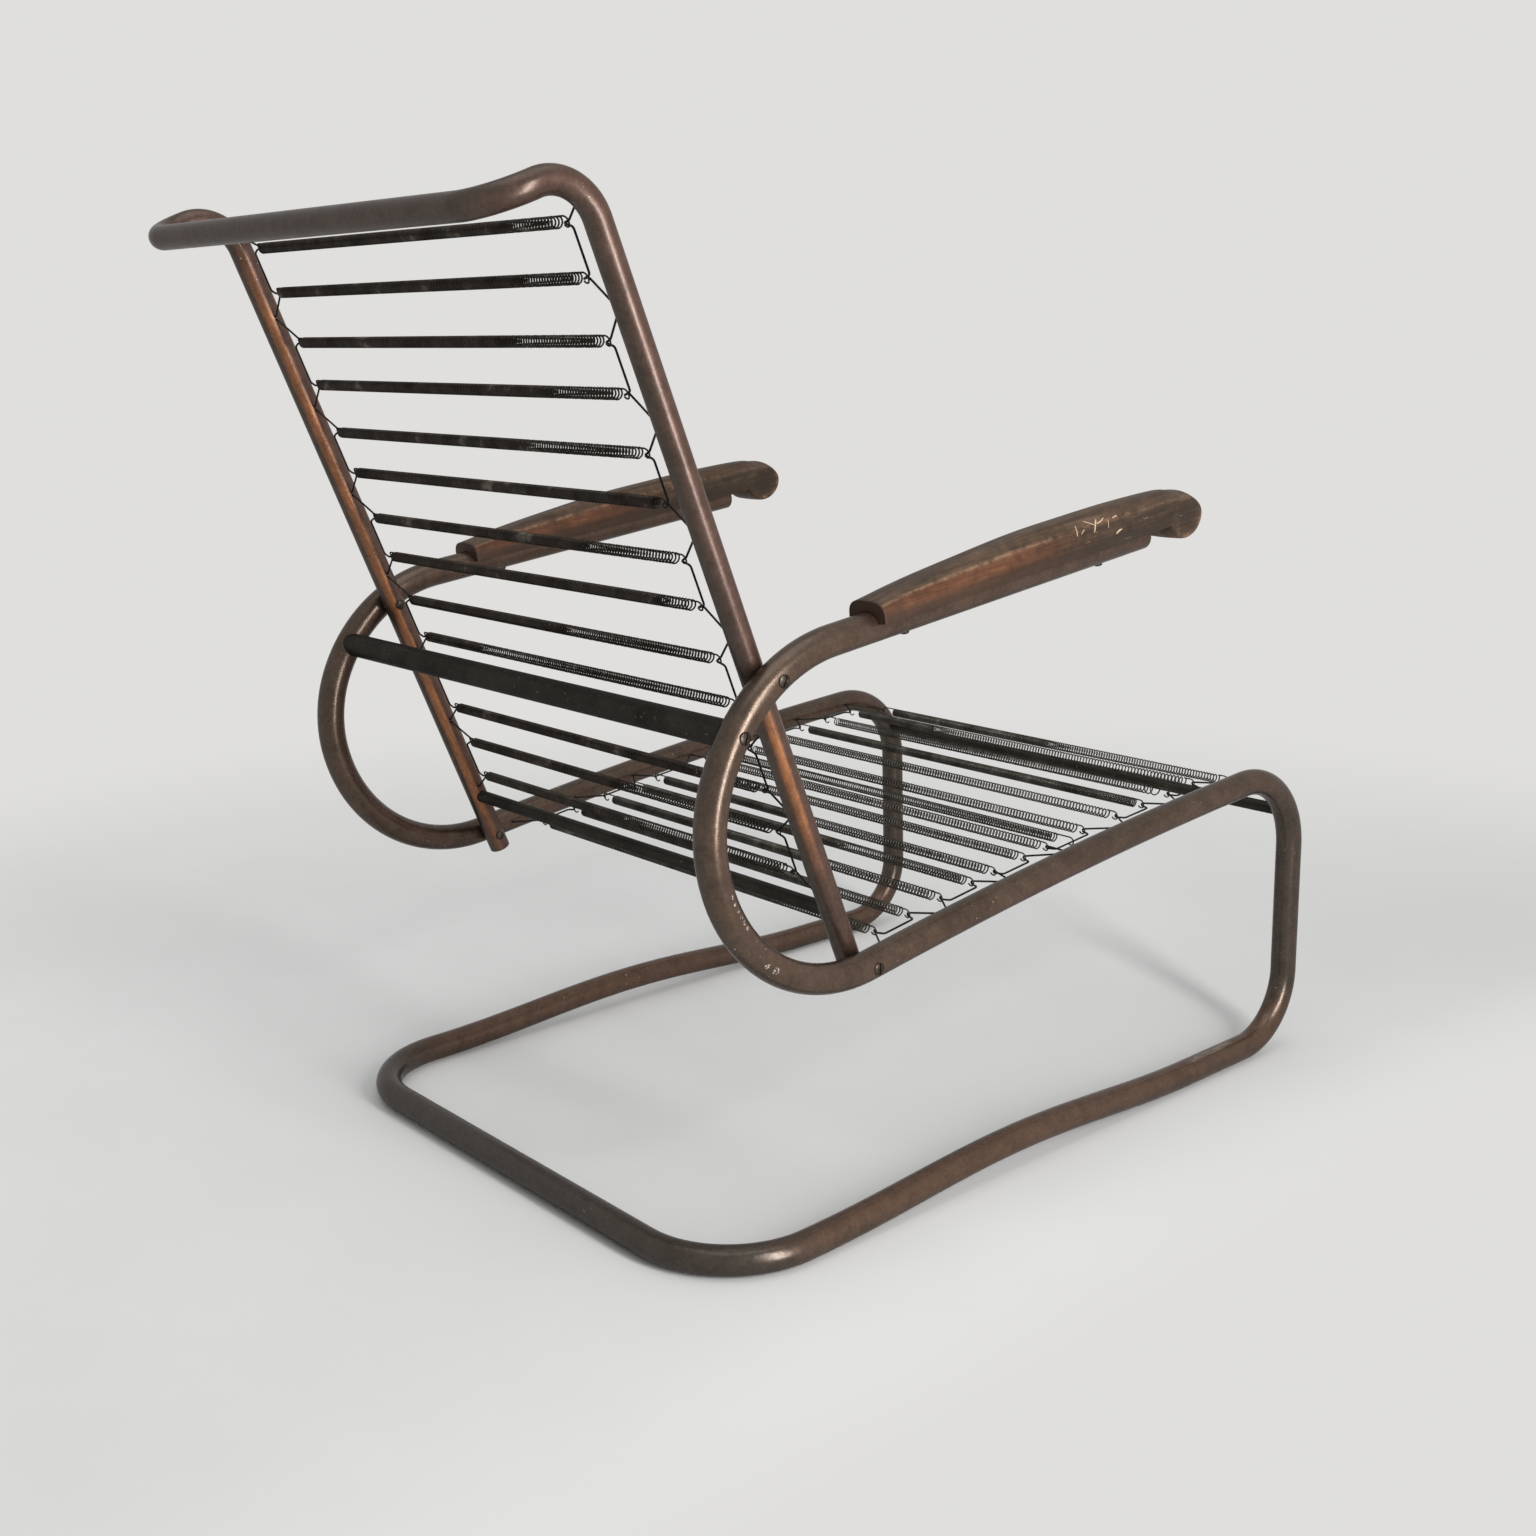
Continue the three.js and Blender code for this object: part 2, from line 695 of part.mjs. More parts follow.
// The wire that it hooks over runs at a height above the spring's axis
function spring(half, openHook, closedHook, height = 0) {
  const grip = holderRadius + BORE_CLEARANCE + springWireRadius;
  const tip = half + grip * Math.SQRT2 + height;
  const curlLength = SPRING_CURLS * SPRING_CURL_PITCH;
  const rodEnd = half - openHook - curlLength;
  const farEnd = half - closedHook;
  const body = rod(
    new THREE.Vector3(-rodEnd, 0, 0),
    new THREE.Vector3(farEnd, 0, 0),
    springRadius * Math.cos(Math.PI / ROD_SIDES),
    ROD_SIDES,
  );
  const open = [];
  const steps = SPRING_CURLS * CURL_STEPS;
  open.push(new THREE.Vector3(-rodEnd + springWireRadius, coilRadius - SPRING_WIRE, 0));
  for (let step = 1; step <= steps; step++) {
    const angle = 2 * Math.PI * (step / CURL_STEPS);
    open.push(
      new THREE.Vector3(
        -rodEnd - curlLength * (step / steps),
        coilRadius * Math.cos(angle),
        coilRadius * Math.sin(angle),
      ),
    );
  }
  open.push(...hookPoints(half - openHook, tip, -1));
  measureCurlGap(open);
  const closed = [new THREE.Vector3(farEnd - springWireRadius, coilRadius - SPRING_WIRE, 0)];
  closed.push(...hookPoints(farEnd, tip, 1));
  return joined([
    body,
    wire(open, springWireRadius, WIRE_SIDES),
    wire(closed, springWireRadius, WIRE_SIDES),
  ]);
}

function hooksOf(holder) {
  return holder.bends.flatMap(({ hooks, drop }) =>
    hooks.map((distance) => ({ distance, drop })),
  );
}

function placeSprings(prefix, holder, hooks, geometry) {
  hooks.forEach(({ distance, drop, upright }, index) => {
    const { point, along, normal } = holder.at(distance);
    const number = String(index + 1).padStart(2, "0");
    const basis = { point: moved(point, [normal, drop]), x: X, y: upright ? normal : along };
    const copy = upright ? upright.clone() : geometry.clone();
    place(`${prefix}_spring_${number}`, copy, springSteel(), basis);
  });
}

const backSpring = spring(backHalfWidth - BACK_HOLDER_REACH, BACK_OPEN_HOOK, BACK_CLOSED_HOOK);
placeSprings("back", backHolder, hooksOf(backHolder), backSpring);

const seatSpring = spring(halfWidth - SEAT_HOLDER_REACH, SEAT_OPEN_HOOK, SEAT_CLOSED_HOOK);
// The extra spring stands its hooks upright and hooks over the run between two others
const extraSpring = spring(
  halfWidth - SEAT_HOLDER_REACH + HOLDER_JOG,
  SEAT_OPEN_HOOK + HOLDER_JOG,
  SEAT_CLOSED_HOOK + HOLDER_JOG,
  sideStep,
);
const extraHook = { distance: SEAT_EXTRA_SPRING, drop: 0, upright: extraSpring };
const seatHooks = [...hooksOf(seatHolder), extraHook];
seatHooks.sort((a, b) => a.distance - b.distance);
placeSprings("seat", seatHolder, seatHooks, seatSpring);
console.log(`least gap of a spring's wire to itself: ${leastCurlGap.toFixed(2)} mm`);

for (const { name, sign } of SIDES) {
  place(`back_wire_${name}`, holderWire(backHolder, sign), blackWire());
  place(`seat_wire_${name}`, holderWire(seatHolder, sign), blackWire());
}

// Armrest: its side outline is drawn across its width and drawn in towards both sides
function armrestOutline() {
  const run = ARMREST_REAR + ARMREST_NOSE;
  const rise = ARMREST_HEIGHT - ARMREST_REAR_HEIGHT;
  const noseTop = ARMREST_NOSE_HEIGHT + ARMREST_NOSE_HALF_HEIGHT;
  const knots = ARMREST_LENGTH_SHARES.map((share, knot) => {
    const height = ARMREST_REAR_HEIGHT + rise * ARMREST_HEIGHT_SHARES[knot];
    return new THREE.Vector2(share * run - ARMREST_REAR, height);
  });
  knots.push(new THREE.Vector2(ARMREST_NOSE, noseTop));
  const points = [new THREE.Vector2(-ARMREST_REAR, ARMREST_SIDE_HEIGHT)];
  points.push(...new THREE.SplineCurve(knots).getPoints(TOP_STEPS));
  const drop = (ARMREST_SIDE_HEIGHT - ARMREST_NOSE_HEIGHT) / ARMREST_NOSE_HALF_HEIGHT;
  const lastAngle = -Math.PI - Math.asin(drop);
  for (let step = 1; step <= NOSE_STEPS; step++) {
    const angle = THREE.MathUtils.lerp(Math.PI / 2, lastAngle, step / NOSE_STEPS);
    points.push(
      new THREE.Vector2(
        ARMREST_NOSE + ARMREST_NOSE_HALF_LENGTH * Math.cos(angle),
        ARMREST_NOSE_HEIGHT + ARMREST_NOSE_HALF_HEIGHT * Math.sin(angle),
      ),
    );
  }
  return new THREE.Shape(points.reverse());
}

function crown(geometry) {
  const position = geometry.attributes.position;
  const limit = radians(ARMREST_CROWN_ANGLE);
  for (let index = 0; index < position.count; index++) {
    const [a, b, z] = [position.getX(index), position.getY(index), position.getZ(index)];
    const angle = limit * ((2 * z) / ARMREST_WIDTH - 1);
    const fullness = Math.cos(angle) ** ARMREST_CROWN_SHARE;
    const outward = Math.abs(Math.sin(angle) / Math.sin(limit)) ** ARMREST_CROWN_SHARE;
    const side = (Math.sign(angle) * ARMREST_WIDTH * outward) / 2;
    const inNose = a > ARMREST_NOSE || b < ARMREST_SIDE_HEIGHT - TOUCH_GAP;
    const core = inNose ? ARMREST_NOSE : a;
    const away = new THREE.Vector2(a - core, b - ARMREST_SIDE_HEIGHT);
    const upward = away.length() ? (1 + away.y / away.length()) / 2 : 1;
    const share = 1 - (1 - fullness) * (inNose ? upward ** 2 : 1);
    position.setXYZ(index, core + away.x * share, ARMREST_SIDE_HEIGHT + away.y * share, side);
  }
  return geometry;
}

function armrest() {
  const block = crown(
    new THREE.ExtrudeGeometry(armrestOutline(), {
      depth: ARMREST_WIDTH,
      steps: CROWN_STEPS,
      bevelEnabled: false,
    }),
  );
  const groove = rod(
    new THREE.Vector3(-ARMREST_REAR - CUT_OVERRUN, 0, 0),
    new THREE.Vector3(ARM_PLUG_DOME + CUT_OVERRUN, 0, 0),
    FRAME_RADIUS + TOUCH_GAP,
    FRAME_SIDES,
  );
  const holes = Object.values(woodScrewPlaces).map((back) => {
    const from = new THREE.Vector3(-back, 0, 0);
    const reach = FRAME_RADIUS + WOOD_SCREW_BITE + BORE_CLEARANCE;
    return rod(from, new THREE.Vector3(-back, reach, 0), woodBoreRadius, BORE_SIDES);
  });
  return without(block, [groove, ...holes]);
}

// A head whose flat underside is at the origin and whose dome points to +Y, with a shank
function screw(head, height, shank, reach) {
  const profile = [new THREE.Vector2(0, -reach), new THREE.Vector2(shank / 2, -reach)];
  profile.push(new THREE.Vector2(shank / 2, 0));
  const rim = height / 3;
  profile.push(new THREE.Vector2(head / 2, 0));
  for (let step = 0; step < DOME_STEPS; step++) {
    const angle = (Math.PI / 2) * (step / DOME_STEPS);
    const up = rim + (height - rim) * Math.sin(angle);
    profile.push(new THREE.Vector2((head / 2) * Math.cos(angle), up));
  }
  profile.push(new THREE.Vector2(0, height));
  const body = new THREE.LatheGeometry(profile, HEAD_SIDES);
  const slot = new THREE.BoxGeometry(head + CUT_OVERRUN, 2 * SCREW_SLOT_DEPTH, SCREW_SLOT_WIDTH);
  slot.translate(0, height, 0);
  return without(body, [slot]);
}

// A domed nut whose flat underside is at the origin and whose dome points to +Y
function nut() {
  const bore = SCREW_SHANK / 2 + BORE_CLEARANCE;
  const depth = NUT_THREAD + TOUCH_GAP;
  const profile = [new THREE.Vector2(bore, 0), new THREE.Vector2(NUT_DIAMETER / 2, 0)];
  profile.push(new THREE.Vector2(NUT_DIAMETER / 2, NUT_HEIGHT / 2));
  profile.push(new THREE.Vector2(NUT_DIAMETER / 3, NUT_HEIGHT));
  profile.push(new THREE.Vector2(0, NUT_HEIGHT));
  profile.push(new THREE.Vector2(0, depth));
  profile.push(new THREE.Vector2(bore, depth));
  profile.push(new THREE.Vector2(bore, 0));
  return new THREE.LatheGeometry(profile, HEAD_SIDES);
}

const armrestGeometry = armrest();
for (const { name, sign } of SIDES) {
  const outward = X.clone().multiplyScalar(sign);
  const end = moved(armEnd.point, [X, sign * halfWidth]);
  const armBasis = { point: end, x: armForward, y: armUp };
  place(`armrest_${name}`, armrestGeometry.clone(), wornWood(), armBasis);

  const plugProfile = [new THREE.Vector2(0, 0), new THREE.Vector2(FRAME_RADIUS, 0)];
  for (let step = 1; step < DOME_STEPS; step++) {
    const angle = (Math.PI / 2) * (step / DOME_STEPS);
    const inner = FRAME_RADIUS - ARM_PLUG_DOME * (1 - Math.cos(angle));
    plugProfile.push(new THREE.Vector2(inner, ARM_PLUG_DOME * Math.sin(angle)));
  }
  plugProfile.push(new THREE.Vector2(0, ARM_PLUG_DOME));
  const plug = new THREE.LatheGeometry(plugProfile, FRAME_SIDES);
  const plugPoint = moved(end, [armForward, TOUCH_GAP]);
  place(`arm_plug_${name}`, plug, darkBar(), { point: plugPoint, x: X, y: armForward });

  for (const { name: screwName, point, reach, bolt } of crossScrews) {
    const seat = moved(point, [X, sign * (outerFace + TOUCH_GAP)]);
    const geometry = screw(SCREW_HEAD, SCREW_HEAD_HEIGHT, SCREW_SHANK, reach + TOUCH_GAP);
    const basis = { point: seat, x: Y, y: outward };
    place(`${screwName}_screw_${name}`, geometry, screwSteel(), basis);
    if (!bolt) continue;
    const inside = moved(point, [X, sign * (backHalfWidth - BACK_RADIUS - TOUCH_GAP)]);
    const nutBasis = { point: inside, x: Y, y: outward.clone().negate() };
    place(`${screwName}_nut_${name}`, nut(), screwSteel(), nutBasis);
  }
  for (const [where, back] of Object.entries(woodScrewPlaces)) {
    const seat = moved(end, [armForward, -back], [armUp, -FRAME_RADIUS - TOUCH_GAP]);
    const reach = 2 * FRAME_RADIUS + TOUCH_GAP + WOOD_SCREW_BITE;
    const geometry = screw(WOOD_SCREW_HEAD, WOOD_SCREW_HEAD_HEIGHT, WOOD_SCREW_SHANK, reach);
    const basis = { point: seat, x: armForward, y: armUp.clone().negate() };
    place(`armrest_screw_${where}_${name}`, geometry, screwSteel(), basis);
  }
}

// The origin goes under the middle of the box
chair.updateMatrixWorld(true);
const box = new THREE.Box3().setFromObject(chair, true);
const object = new THREE.Group();
object.add(chair);
chair.position.set(0, -(box.min.y + box.max.y) / 2, -box.min.z);

export default object;
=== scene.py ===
"""A cantilever lounge chair of bent steel tube, with extension springs across its seat and
back and two wooden armrests. Lengths are in millimetres until a mesh is made."""
import math

import bmesh
import bpy
from mathutils import Matrix, Vector, noise


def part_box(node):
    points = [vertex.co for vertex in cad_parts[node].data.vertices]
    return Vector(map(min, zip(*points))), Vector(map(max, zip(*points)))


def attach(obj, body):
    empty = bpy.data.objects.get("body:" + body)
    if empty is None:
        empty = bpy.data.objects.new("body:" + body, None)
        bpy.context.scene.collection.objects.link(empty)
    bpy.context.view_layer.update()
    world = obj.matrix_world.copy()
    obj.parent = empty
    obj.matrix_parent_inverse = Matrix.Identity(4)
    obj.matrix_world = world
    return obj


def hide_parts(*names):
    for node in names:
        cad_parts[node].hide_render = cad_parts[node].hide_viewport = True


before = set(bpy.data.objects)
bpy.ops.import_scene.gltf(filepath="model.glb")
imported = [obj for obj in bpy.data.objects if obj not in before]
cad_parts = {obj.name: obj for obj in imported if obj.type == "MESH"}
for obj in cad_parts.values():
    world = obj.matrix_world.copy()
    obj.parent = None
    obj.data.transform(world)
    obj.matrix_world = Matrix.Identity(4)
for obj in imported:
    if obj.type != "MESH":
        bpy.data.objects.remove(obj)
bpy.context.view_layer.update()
MM = 0.001

# The tube frame, as it was bent
FRAME_RADIUS = 12.5
HALF_WIDTH = 281.0
FRAME_LENGTH = 761.0
REAR_CORNER_RADIUS = 90.0
RUNNER_ARCH = 12.0
JOINT_FROM_FRONT = 161.0
TOE_RADIUS = 67.0
LEG_HEIGHT = 285.0
LEG_LEAN = 1.2
KNEE_RADIUS = 80.0
RAIL_FRONT_SLOPE = 4.4
RAIL_STRAIGHT = 120.0
RAIL_ARCH_LENGTH = 478.0
RAIL_ARCH_TURN = 4.7
LOOP_LOWER = (139.0, 88.0)
LOOP_REAR = (122.0, 33.0)
LOOP_UPPER_RADIUS = 141.0
ARM_SLOPE = 7.4
ARM_STRAIGHT = 369.0
PLUG_EDGE = 5.0

# The back tube
BACK_RADIUS = 10.0
BACK_HALF_WIDTH = HALF_WIDTH - FRAME_RADIUS - BACK_RADIUS - 0.3
BACK_LEAN = 21.8
BACK_FOOT = 16.0
BACK_STRAIGHT = 624.0
BACK_CURL = (37.5, 89.5)
BACK_CORNER_RADIUS = 37.5

# Crossbars
REAR_BAR_RADIUS = 10.75
REAR_BAR_TURN = 134.5
LOWER_BAR_RADIUS = 6.0
LOWER_BAR_HEIGHT = 63.0
FRONT_BAR_RADIUS = 6.0
FRONT_BAR_TURN = 28.0

# Springs and the wires that hold them
SPRING_RADIUS = 4.7
SPRING_WIRE = 0.7
HOLDER_WIRE = 0.87
BACK_REACH = 35.0
SEAT_REACH = 41.0
HOLDER_JOG = 9.0
FAR_JOG = 6.5
BACK_SIDE_STEP = 2.3
SEAT_SIDE_STEP = 1.2

STEP = 3.0
NEAR, FAR = -1.0, 1.0
X, Y, Z = Vector((1, 0, 0)), Vector((0, 1, 0)), Vector((0, 0, 1))
PITCH_UP = -X
REAR_BAR_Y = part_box("base_tube")[1][1] / MM - FRAME_RADIUS


class BentPath:
    """Points and headings along a tube's centre line, bent step by step."""

    def __init__(self, point, heading):
        self.points = [point.copy()]
        self.headings = [heading.normalized()]
        self.travel = [0.0]

    def add(self, point, heading):
        self.travel.append(self.travel[-1] + (point - self.points[-1]).length)
        self.points.append(point)
        self.headings.append(heading.normalized())

    def line(self, length, pieces=1):
        start, heading = self.points[-1], self.headings[-1]
        for piece in range(1, pieces + 1):
            self.add(start + heading * length * piece / pieces, heading)

    def arc(self, radius, degrees, axis, step=STEP):
        if degrees < 0:
            axis, degrees = -axis, -degrees
        start, heading = self.points[-1], self.headings[-1]
        centre = start + axis.cross(heading) * radius
        pieces = max(1, math.ceil(degrees / step))
        for piece in range(1, pieces + 1):
            turn = Matrix.Rotation(math.radians(degrees * piece / pieces), 3, axis)
            self.add(centre + turn @ (start - centre), turn @ heading)

    def hump(self, length, rise, pieces=24):
        start, heading = self.points[-1], self.headings[-1]
        for piece in range(1, pieces + 1):
            turn = 2 * math.pi * piece / pieces
            lift = rise * (1 - math.cos(turn)) / 2
            slope = math.pi * rise / length * math.sin(turn)
            self.add(start + heading * length * piece / pieces + Z * lift, heading + Z * slope)

    def at(self, distance):
        place = 1
        while place < len(self.points) - 1 and self.travel[place] < distance:
            place += 1
        share = (distance - self.travel[place - 1]) / (self.travel[place] - self.travel[place - 1])
        point = self.points[place - 1].lerp(self.points[place], share)
        along = self.headings[place - 1].lerp(self.headings[place], share).normalized()
        return point, along, X.cross(along).normalized()


def bend_tangent(radius, degrees):
    return radius * math.tan(math.radians(degrees) / 2)


TOE_TURN = 90 + LEG_LEAN
KNEE_TURN = 90 - LEG_LEAN + RAIL_FRONT_SLOPE
LOOP_TURN = RAIL_FRONT_SLOPE + RAIL_ARCH_TURN + 180 - ARM_SLOPE
LOOP_UPPER_TURN = LOOP_TURN - LOOP_LOWER[1] - LOOP_REAR[1]
LEG_LENGTH = LEG_HEIGHT / math.cos(math.radians(LEG_LEAN))
JOINT_FROM_REAR = FRAME_LENGTH - JOINT_FROM_FRONT


def row(x, forward, height):
    return Vector((x, REAR_BAR_Y - forward, height))


def side_path(x):
    path = BentPath(row(x, JOINT_FROM_REAR + 0.3, FRAME_RADIUS), -Y)
    path.line(JOINT_FROM_FRONT - 0.3 - bend_tangent(TOE_RADIUS, TOE_TURN), 4)
    path.arc(TOE_RADIUS, TOE_TURN, PITCH_UP)
    path.line(LEG_LENGTH - bend_tangent(TOE_RADIUS, TOE_TURN) - bend_tangent(KNEE_RADIUS, KNEE_TURN), 4)
    path.knee_start = path.travel[-1]
    path.arc(KNEE_RADIUS, KNEE_TURN, PITCH_UP)
    path.knee_end = path.travel[-1]
    path.line(RAIL_STRAIGHT - bend_tangent(KNEE_RADIUS, KNEE_TURN), 2)
    path.arc(RAIL_ARCH_LENGTH / math.radians(RAIL_ARCH_TURN), RAIL_ARCH_TURN, PITCH_UP, 0.25)
    path.loop_start = path.travel[-1]
    path.arc(LOOP_LOWER[0], -LOOP_LOWER[1], PITCH_UP)
    path.arc(LOOP_REAR[0], -LOOP_REAR[1], PITCH_UP)
    path.loop_upper = path.travel[-1]
    path.arc(LOOP_UPPER_RADIUS, -LOOP_UPPER_TURN, PITCH_UP)
    path.loop_end = path.travel[-1]
    path.line(ARM_STRAIGHT, 12)
    return path


MID_PATH = side_path(0)
LOOP_START = MID_PATH.at(MID_PATH.loop_start)[0]
BACK_UP = Matrix.Rotation(-math.radians(BACK_LEAN), 3, X) @ Z
BACK_NORMAL = X.cross(BACK_UP)
BACK_FOOT_POINT = LOOP_START - BACK_UP * BACK_FOOT


def back_path():
    path = BentPath(BACK_FOOT_POINT - X * BACK_HALF_WIDTH, BACK_UP)
    path.line(BACK_STRAIGHT, 16)
    path.arc(BACK_CURL[0], BACK_CURL[1], PITCH_UP)
    inward = path.headings[-1].cross(X)
    path.arc(BACK_CORNER_RADIUS, 90, inward)
    path.line(2 * (BACK_HALF_WIDTH - BACK_CORNER_RADIUS), 12)
    path.arc(BACK_CORNER_RADIUS, 90, inward)
    path.arc(BACK_CURL[0], -BACK_CURL[1], PITCH_UP)
    path.line(BACK_STRAIGHT, 16)
    return path


BACK_PATH = back_path()


def on_back(distance):
    point, along, normal = BACK_PATH.at(distance)
    return Vector((0, point.y, point.z)), along, normal


def on_seat(distance):
    return MID_PATH.at(MID_PATH.loop_start - distance)


# Chips on the near loop as (y, z, size), and scratches on an armrest as (a, b, turn, length,
# half width), in metres and radians
GLINTS = ((0.2965, 0.3245, 0.0022), (0.2935, 0.3185, 0.0022), (0.2905, 0.313, 0.0022), (0.2875, 0.3075, 0.0022), (0.2845, 0.3025, 0.0022),
          (0.2815, 0.2975, 0.0022), (0.263, 0.2635, 0.0028), (0.2545, 0.2575, 0.0036))
SCRATCHES = ((-0.0745, 0.0262, 0.95, 0.007, 0.0009), (-0.0665, 0.0285, 0.25, 0.0065, 0.0006), (-0.08, 0.0292, -0.45, 0.008, 0.0005),
             (-0.0985, 0.0268, 1.3, 0.005, 0.0006), (-0.0915, 0.0245, 0.5, 0.0035, 0.0005), (-0.0465, 0.0157, 0.3, 0.005, 0.0011),
             (-0.0475, 0.0285, 0.1, 0.0035, 0.0006), (-0.058, 0.0245, 1.2, 0.004, 0.0004))
# Directions for painted light on the tubes: the side that takes the coppery painted highlight, and the side tinted
# redder while the other side goes greyer
HIGHLIGHT_SIDE = (-0.8, 0.6, 0.0)
FRONT_SIDE = (-0.66, -0.75, 0.0)

# Materials, built from nodes
class Finish:
    def __init__(self, name):
        self.material = bpy.data.materials.new(name)
        self.material.use_nodes = True
        self.tree = self.material.node_tree
        self.shader = self.tree.nodes["Principled BSDF"]

    def node(self, kind, links=None, **settings):
        made = self.tree.nodes.new(kind)
        for key, value in settings.items():
            setattr(made, key, value)
        for socket, source in (links or {}).items():
            self.feed(made.inputs[socket], source)
        return made

    def feed(self, socket, source):
        if isinstance(source, bpy.types.NodeSocket):
            self.tree.links.new(source, socket)
        else:
            socket.default_value = source

    def place(self, scale=(1, 1, 1), turn=(0, 0, 0), attribute=None):
        if attribute:
            source = self.node("ShaderNodeAttribute", attribute_name=attribute).outputs["Vector"]
        else:
            source = self.node("ShaderNodeTexCoord").outputs["Object"]
        return self.node("ShaderNodeMapping", {"Vector": source, "Scale": scale, "Rotation": turn}).outputs[0]

    def noise(self, vector, scale, detail=4.0, roughness=0.55, distortion=0.0):
        return self.node("ShaderNodeTexNoise", {"Vector": vector, "Scale": scale, "Detail": detail,
                         "Roughness": roughness, "Distortion": distortion}).outputs["Fac"]

    def spots(self, vector, scale, randomness=1.0):
        return self.node("ShaderNodeTexVoronoi", {"Vector": vector, "Scale": scale,
                         "Randomness": randomness}).outputs["Distance"]

    def ramp(self, factor, *stops):
        made = self.node("ShaderNodeValToRGB", {"Fac": factor})
        colours = made.color_ramp.elements
        while len(colours) < len(stops):
            colours.new(1.0)
        for element, (position, value) in zip(colours, stops):
            element.position = position
            element.color = (*value, 1) if isinstance(value, tuple) else (value, value, value, 1)
        return made.outputs["Color"]

    def mix(self, factor, first, second, blend="MIX"):
        made = self.node("ShaderNodeMix", data_type="RGBA", blend_type=blend)
        self.feed(made.inputs[0], factor)
        self.feed(made.inputs[6], first if isinstance(first, bpy.types.NodeSocket) else (*first, 1))
        self.feed(made.inputs[7], second if isinstance(second, bpy.types.NodeSocket) else (*second, 1))
        return made.outputs[2]

    def math(self, operation, first, second=0.0):
        made = self.node("ShaderNodeMath", operation=operation)
        self.feed(made.inputs[0], first)
        self.feed(made.inputs[1], second)
        return made.outputs[0]

    def band(self, source, low, high):
        made = self.node("ShaderNodeMapRange", {"Value": source, "From Min": low, "From Max": high}, interpolation_type="SMOOTHSTEP")
        return made.outputs[0]

    def parts(self, attribute):
        source = self.node("ShaderNodeAttribute", attribute_name=attribute).outputs["Vector"]
        return self.node("ShaderNodeSeparateXYZ", {0: source}).outputs

    def bump(self, height, strength, distance):
        made = self.node("ShaderNodeBump", {"Height": height, "Strength": strength, "Distance": distance})
        self.feed(self.shader.inputs["Normal"], made.outputs[0])

    def set(self, **sockets):
        names = {"color": "Base Color", "rough": "Roughness", "metal": "Metallic", "coat": "Coat Weight",
                 "coat_rough": "Coat Roughness", "specular": "Specular IOR Level", "edge": "Specular Tint"}
        for key, source in sockets.items():
            self.feed(self.shader.inputs[names[key]], source)
        return self.material


